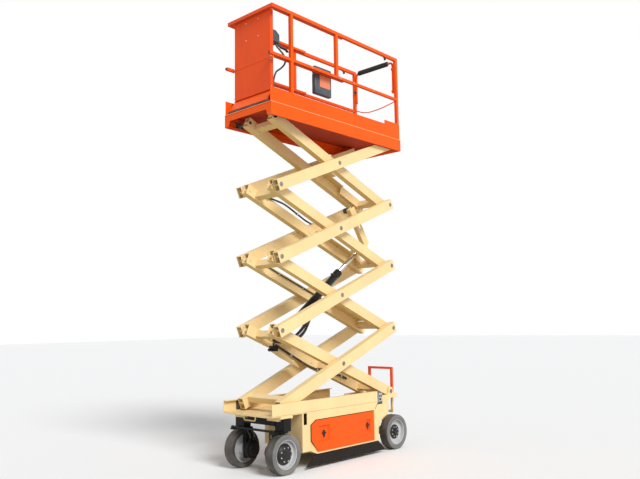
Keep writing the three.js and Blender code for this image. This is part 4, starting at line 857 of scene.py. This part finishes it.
grip_place = Matrix.Translation((way_in, -0.0215, top_bar)) @ Matrix.Diagonal((grip_flatness, 1, 1, 1))
bm = bmesh.new()
add_lathe(bm, grip_profile, (0, 0, 0), (0, 1, 0), 40)
bmesh.ops.transform(bm, matrix=grip_place, verts=bm.verts[:])
finish_piece("gate_grip", bm, foam, "swing_gate")
bm = bmesh.new()
add_rod(bm, (-1.116, latch_y, 4.66), (-1.098, latch_y, 4.66), 0.012, 20)
add_rod(bm, (-1.098, latch_y, 4.66), (-1.082, latch_y, 4.66), 0.020, 24, 0.017)
finish_piece("gate_latch", bm, knob_coat, "swing_gate", 0.002)

# ---- Sliding rails ----
# Square steel tubes that carry the extension's front frame and run back inside the guardrails.
# They are sprayed orange, and hexagon bolts stand on the mid rails.
tube_inner, tube_outer, tube_size = 0.2972, 0.3248, 0.0278
mid_tube, top_tube = 4.3878, 4.929
for name, side in (("left", 1), ("right", -1)):
    bm = bmesh.new()
    for foot_z in (top_tube, mid_tube):
        add_box(bm, (-0.1095, side * tube_inner, foot_z), (1.0246, side * tube_outer, foot_z + tube_size))
    for x in (0.10, 0.50, 0.86):
        add_rod(bm, (x, side * 0.311, 4.4156), (x, side * 0.311, 4.4176), 0.008, 6)
    bars = finish_piece(f"slide_tubes_{name}", bm, orange, "deck_extension", 0.0025)
    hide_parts(f"extension_rails_{name}")

# ---- Extension front ----
# Two steel sheets riveted to a tube frame and sprayed a slightly darker, redder orange than the rails.
# Plastic plugs close the top bar's ends, and a rubber strip seals the deck's front edge.
front_coat = painted("front_orange", (0.86, 0.088, 0.012), (0.35, 0.04, 0.012), soil=0.3)
recoat(front_coat, "extension_front")
sheet_face = 1.0672
bm = bmesh.new()
for z, reach in ((4.052, 0.305), (4.36, 0.305), (4.392, 0.305), (4.68, 0.10), (4.88, 0.10)):
    for y in (-reach, reach):
        add_rod(bm, (sheet_face, y, z), (sheet_face + 0.0033, y, z), 0.007, 12, 0.0055)
finish_piece("panel_rivets", bm, bolt_coat, "deck_extension")
bm = bmesh.new()
add_box(bm, (sheet_face, -0.3245, 4.3745), (sheet_face + 0.002, 0.3245, 4.3785))
finish_piece("panel_seam", bm, front_coat, "deck_extension")
bm = bmesh.new()
for side in (1, -1):
    add_box(bm, (0.8845, side * 0.3302, 4.9205), (0.8889, side * 0.3698, 4.9613))
finish_piece("bar_plugs", bm, knob_coat, "deck_extension", 0.001)
bm = bmesh.new()
add_box(bm, (1.1335, -0.338, 3.8685), (1.1375, 0.338, 3.886))
finish_piece("deck_seal", bm, rubber, "deck_extension", 0.001)

# ---- Platform controls ----
# A moulded blue-grey box hung on the front frame, with a joystick in a rubber boot, a red stop button,
# a row of toggle switches and a bent carrying handle. Its cable is clipped to the frame down to the deck.
case_coat = moulded("case_plastic", (0.045, 0.062, 0.080), grain=350.0, gloss=0.42, dust=0.15)
case_rear, case_front, case_foot, case_top = 0.8955, 1.024, 4.5925, 4.731
lid, stick_x, stick_y, button_y = 4.7302, 0.975, 0.155, 0.215
bm = bmesh.new()
add_slab(bm, "y", ((case_rear, case_foot), (case_front, case_foot), (case_front, case_top), (0.95, case_top),
                   (case_rear, 4.69)), 0.1205, 0.2685)
add_box(bm, (0.985, 0.15, 4.4185), (1.0235, 0.21, 4.60))
controls = finish_piece("control_case", bm, case_coat, "deck_extension", 0.012, 4)
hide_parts("platform_control_box")
boot_profile = (
    (0.0, 0.0), (0.030, 0.0), (0.028, 0.006), (0.022, 0.009), (0.023, 0.013), (0.016, 0.017), (0.0165, 0.020),
    (0.008, 0.024), (0.0065, 0.030), (0.0, 0.030))
bm = bmesh.new()
add_lathe(bm, boot_profile, (stick_x, stick_y, lid), (0, 0, 1), 32)
add_rod(bm, (stick_x, stick_y, 4.755), (stick_x, stick_y, 4.766), 0.007, 16)
add_rod(bm, (stick_x, stick_y, 4.762), (stick_x, stick_y, 4.7815), 0.013, 24, 0.015)
finish_piece("joystick", bm, knob_coat, "deck_extension", 0.001)
red = moulded("button_red", (0.62, 0.015, 0.012), grain=500.0, gloss=0.3, dust=0.1)
bm = bmesh.new()
add_rod(bm, (stick_x, button_y, lid), (stick_x, button_y, 4.742), 0.012, 24)
add_rod(bm, (stick_x, button_y, 4.742), (stick_x, button_y, 4.752), 0.019, 32, 0.017)
finish_piece("stop_button", bm, red, "deck_extension", 0.001)
switch_row = 4.655
bm = bmesh.new()
for y in (0.13, 0.155, 0.18, 0.205, 0.23):
    add_rod(bm, (case_rear, y, switch_row), (0.891, y, switch_row), 0.006, 12)
    add_rod(bm, (0.891, y, switch_row), (0.8855, y, switch_row + 0.010), 0.0028, 10)
finish_piece("switches", bm, bolt_coat, "deck_extension")
fixed_hose("control_cable", [
    (0.93, 0.235, 4.594), (0.925, 0.245, 4.56), (0.90, 0.27, 4.515), (0.86, 0.283, 4.47),
    (0.83, 0.285, 4.42), (0.845, 0.282, 4.36), (0.90, 0.280, 4.30), (0.97, 0.280, 4.24),
    (1.006, 0.279, 4.14), (1.006, 0.277, 4.06)], 0.010, "deck_extension")
handle_bends = ((0.905, 0.245, 4.586), (0.868, 0.262, 4.552), (0.815, 0.272, 4.545), (0.785, 0.275, 4.522))
handle_radius = 0.0135
bm = bmesh.new()
for start, end in zip(handle_bends, handle_bends[1:]):
    add_rod(bm, start, end, handle_radius, 16)
    x, y, z = end
    add_rod(bm, (x, y, z - 0.001), (x, y, z + 0.001), handle_radius, 16)
finish_piece("carry_handle", bm, knob_coat, "deck_extension", 0.002)

# ---- Document case ----
# A rounded box moulded in blue-grey plastic for the machine's papers, with a hinged lid.
# It is screwed to the sliding mid rail, and a bare orange plate is glued to its face.
case_back, case_end, case_inner, case_outer = 0.0805, 0.3635, 0.2425, 0.2962
bm = bmesh.new()
for low, high in ((4.1525, 4.395), (4.3975, 4.4835)):
    add_box(bm, (case_back, case_inner, low), (case_end, case_outer, high))
box_piece = finish_piece("paper_case", bm, case_coat, "deck_extension", 0.010, 4)
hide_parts("document_case")
bm = bmesh.new()
add_box(bm, (0.105, 0.2963, 4.245), (0.285, 0.2974, 4.385))
plate_coat = moulded("plate_orange", (0.80, 0.22, 0.10), grain=500.0, gloss=0.3, dust=0.1)
finish_piece("case_plate", bm, plate_coat, "deck_extension")

# ---- Ground controls ----
# A moulded box in a cut-out of the deck's side, with a bare metal plate held by four screws.
# Two selector knobs and a larger one stand on the plate, and a clipped cable runs down from the box.
plate_back, plate_face, knob_row = 0.3716, 0.3732, 0.655
bm = bmesh.new()
add_box(bm, (-0.6475, 0.2645, 0.5605), (-0.5615, 0.3715, 0.6995))
ground = finish_piece("ground_case", bm, case_coat, "chassis", 0.006, 3)
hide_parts("ground_control_box")
bm = bmesh.new()
add_box(bm, (-0.640, plate_back, 0.592), (-0.569, plate_face, 0.690))
for x in (-0.635, -0.574):
    for z in (0.597, 0.685):
        add_rod(bm, (x, plate_face, z), (x, plate_face + 0.0016, z), 0.003, 10)
finish_piece("ground_plate", bm, bolt_coat, "chassis", 0.0005)
bm = bmesh.new()
for x, z, reach, radius in ((-0.620, knob_row, 0.0053, 0.010), (-0.588, knob_row, 0.0053, 0.008),
                            (-0.604, 0.618, 0.0056, 0.013)):
    add_rod(bm, (x, plate_face, z), (x, plate_face + reach, z), radius, 24)
finish_piece("ground_knobs", bm, knob_coat, "chassis", 0.001)
fixed_hose("ground_cable", [(-0.562, 0.352, 0.575), (-0.548, 0.369, 0.571), (-0.53, 0.3705, 0.553),
                            (-0.505, 0.3705, 0.515)], 0.0055, "chassis")
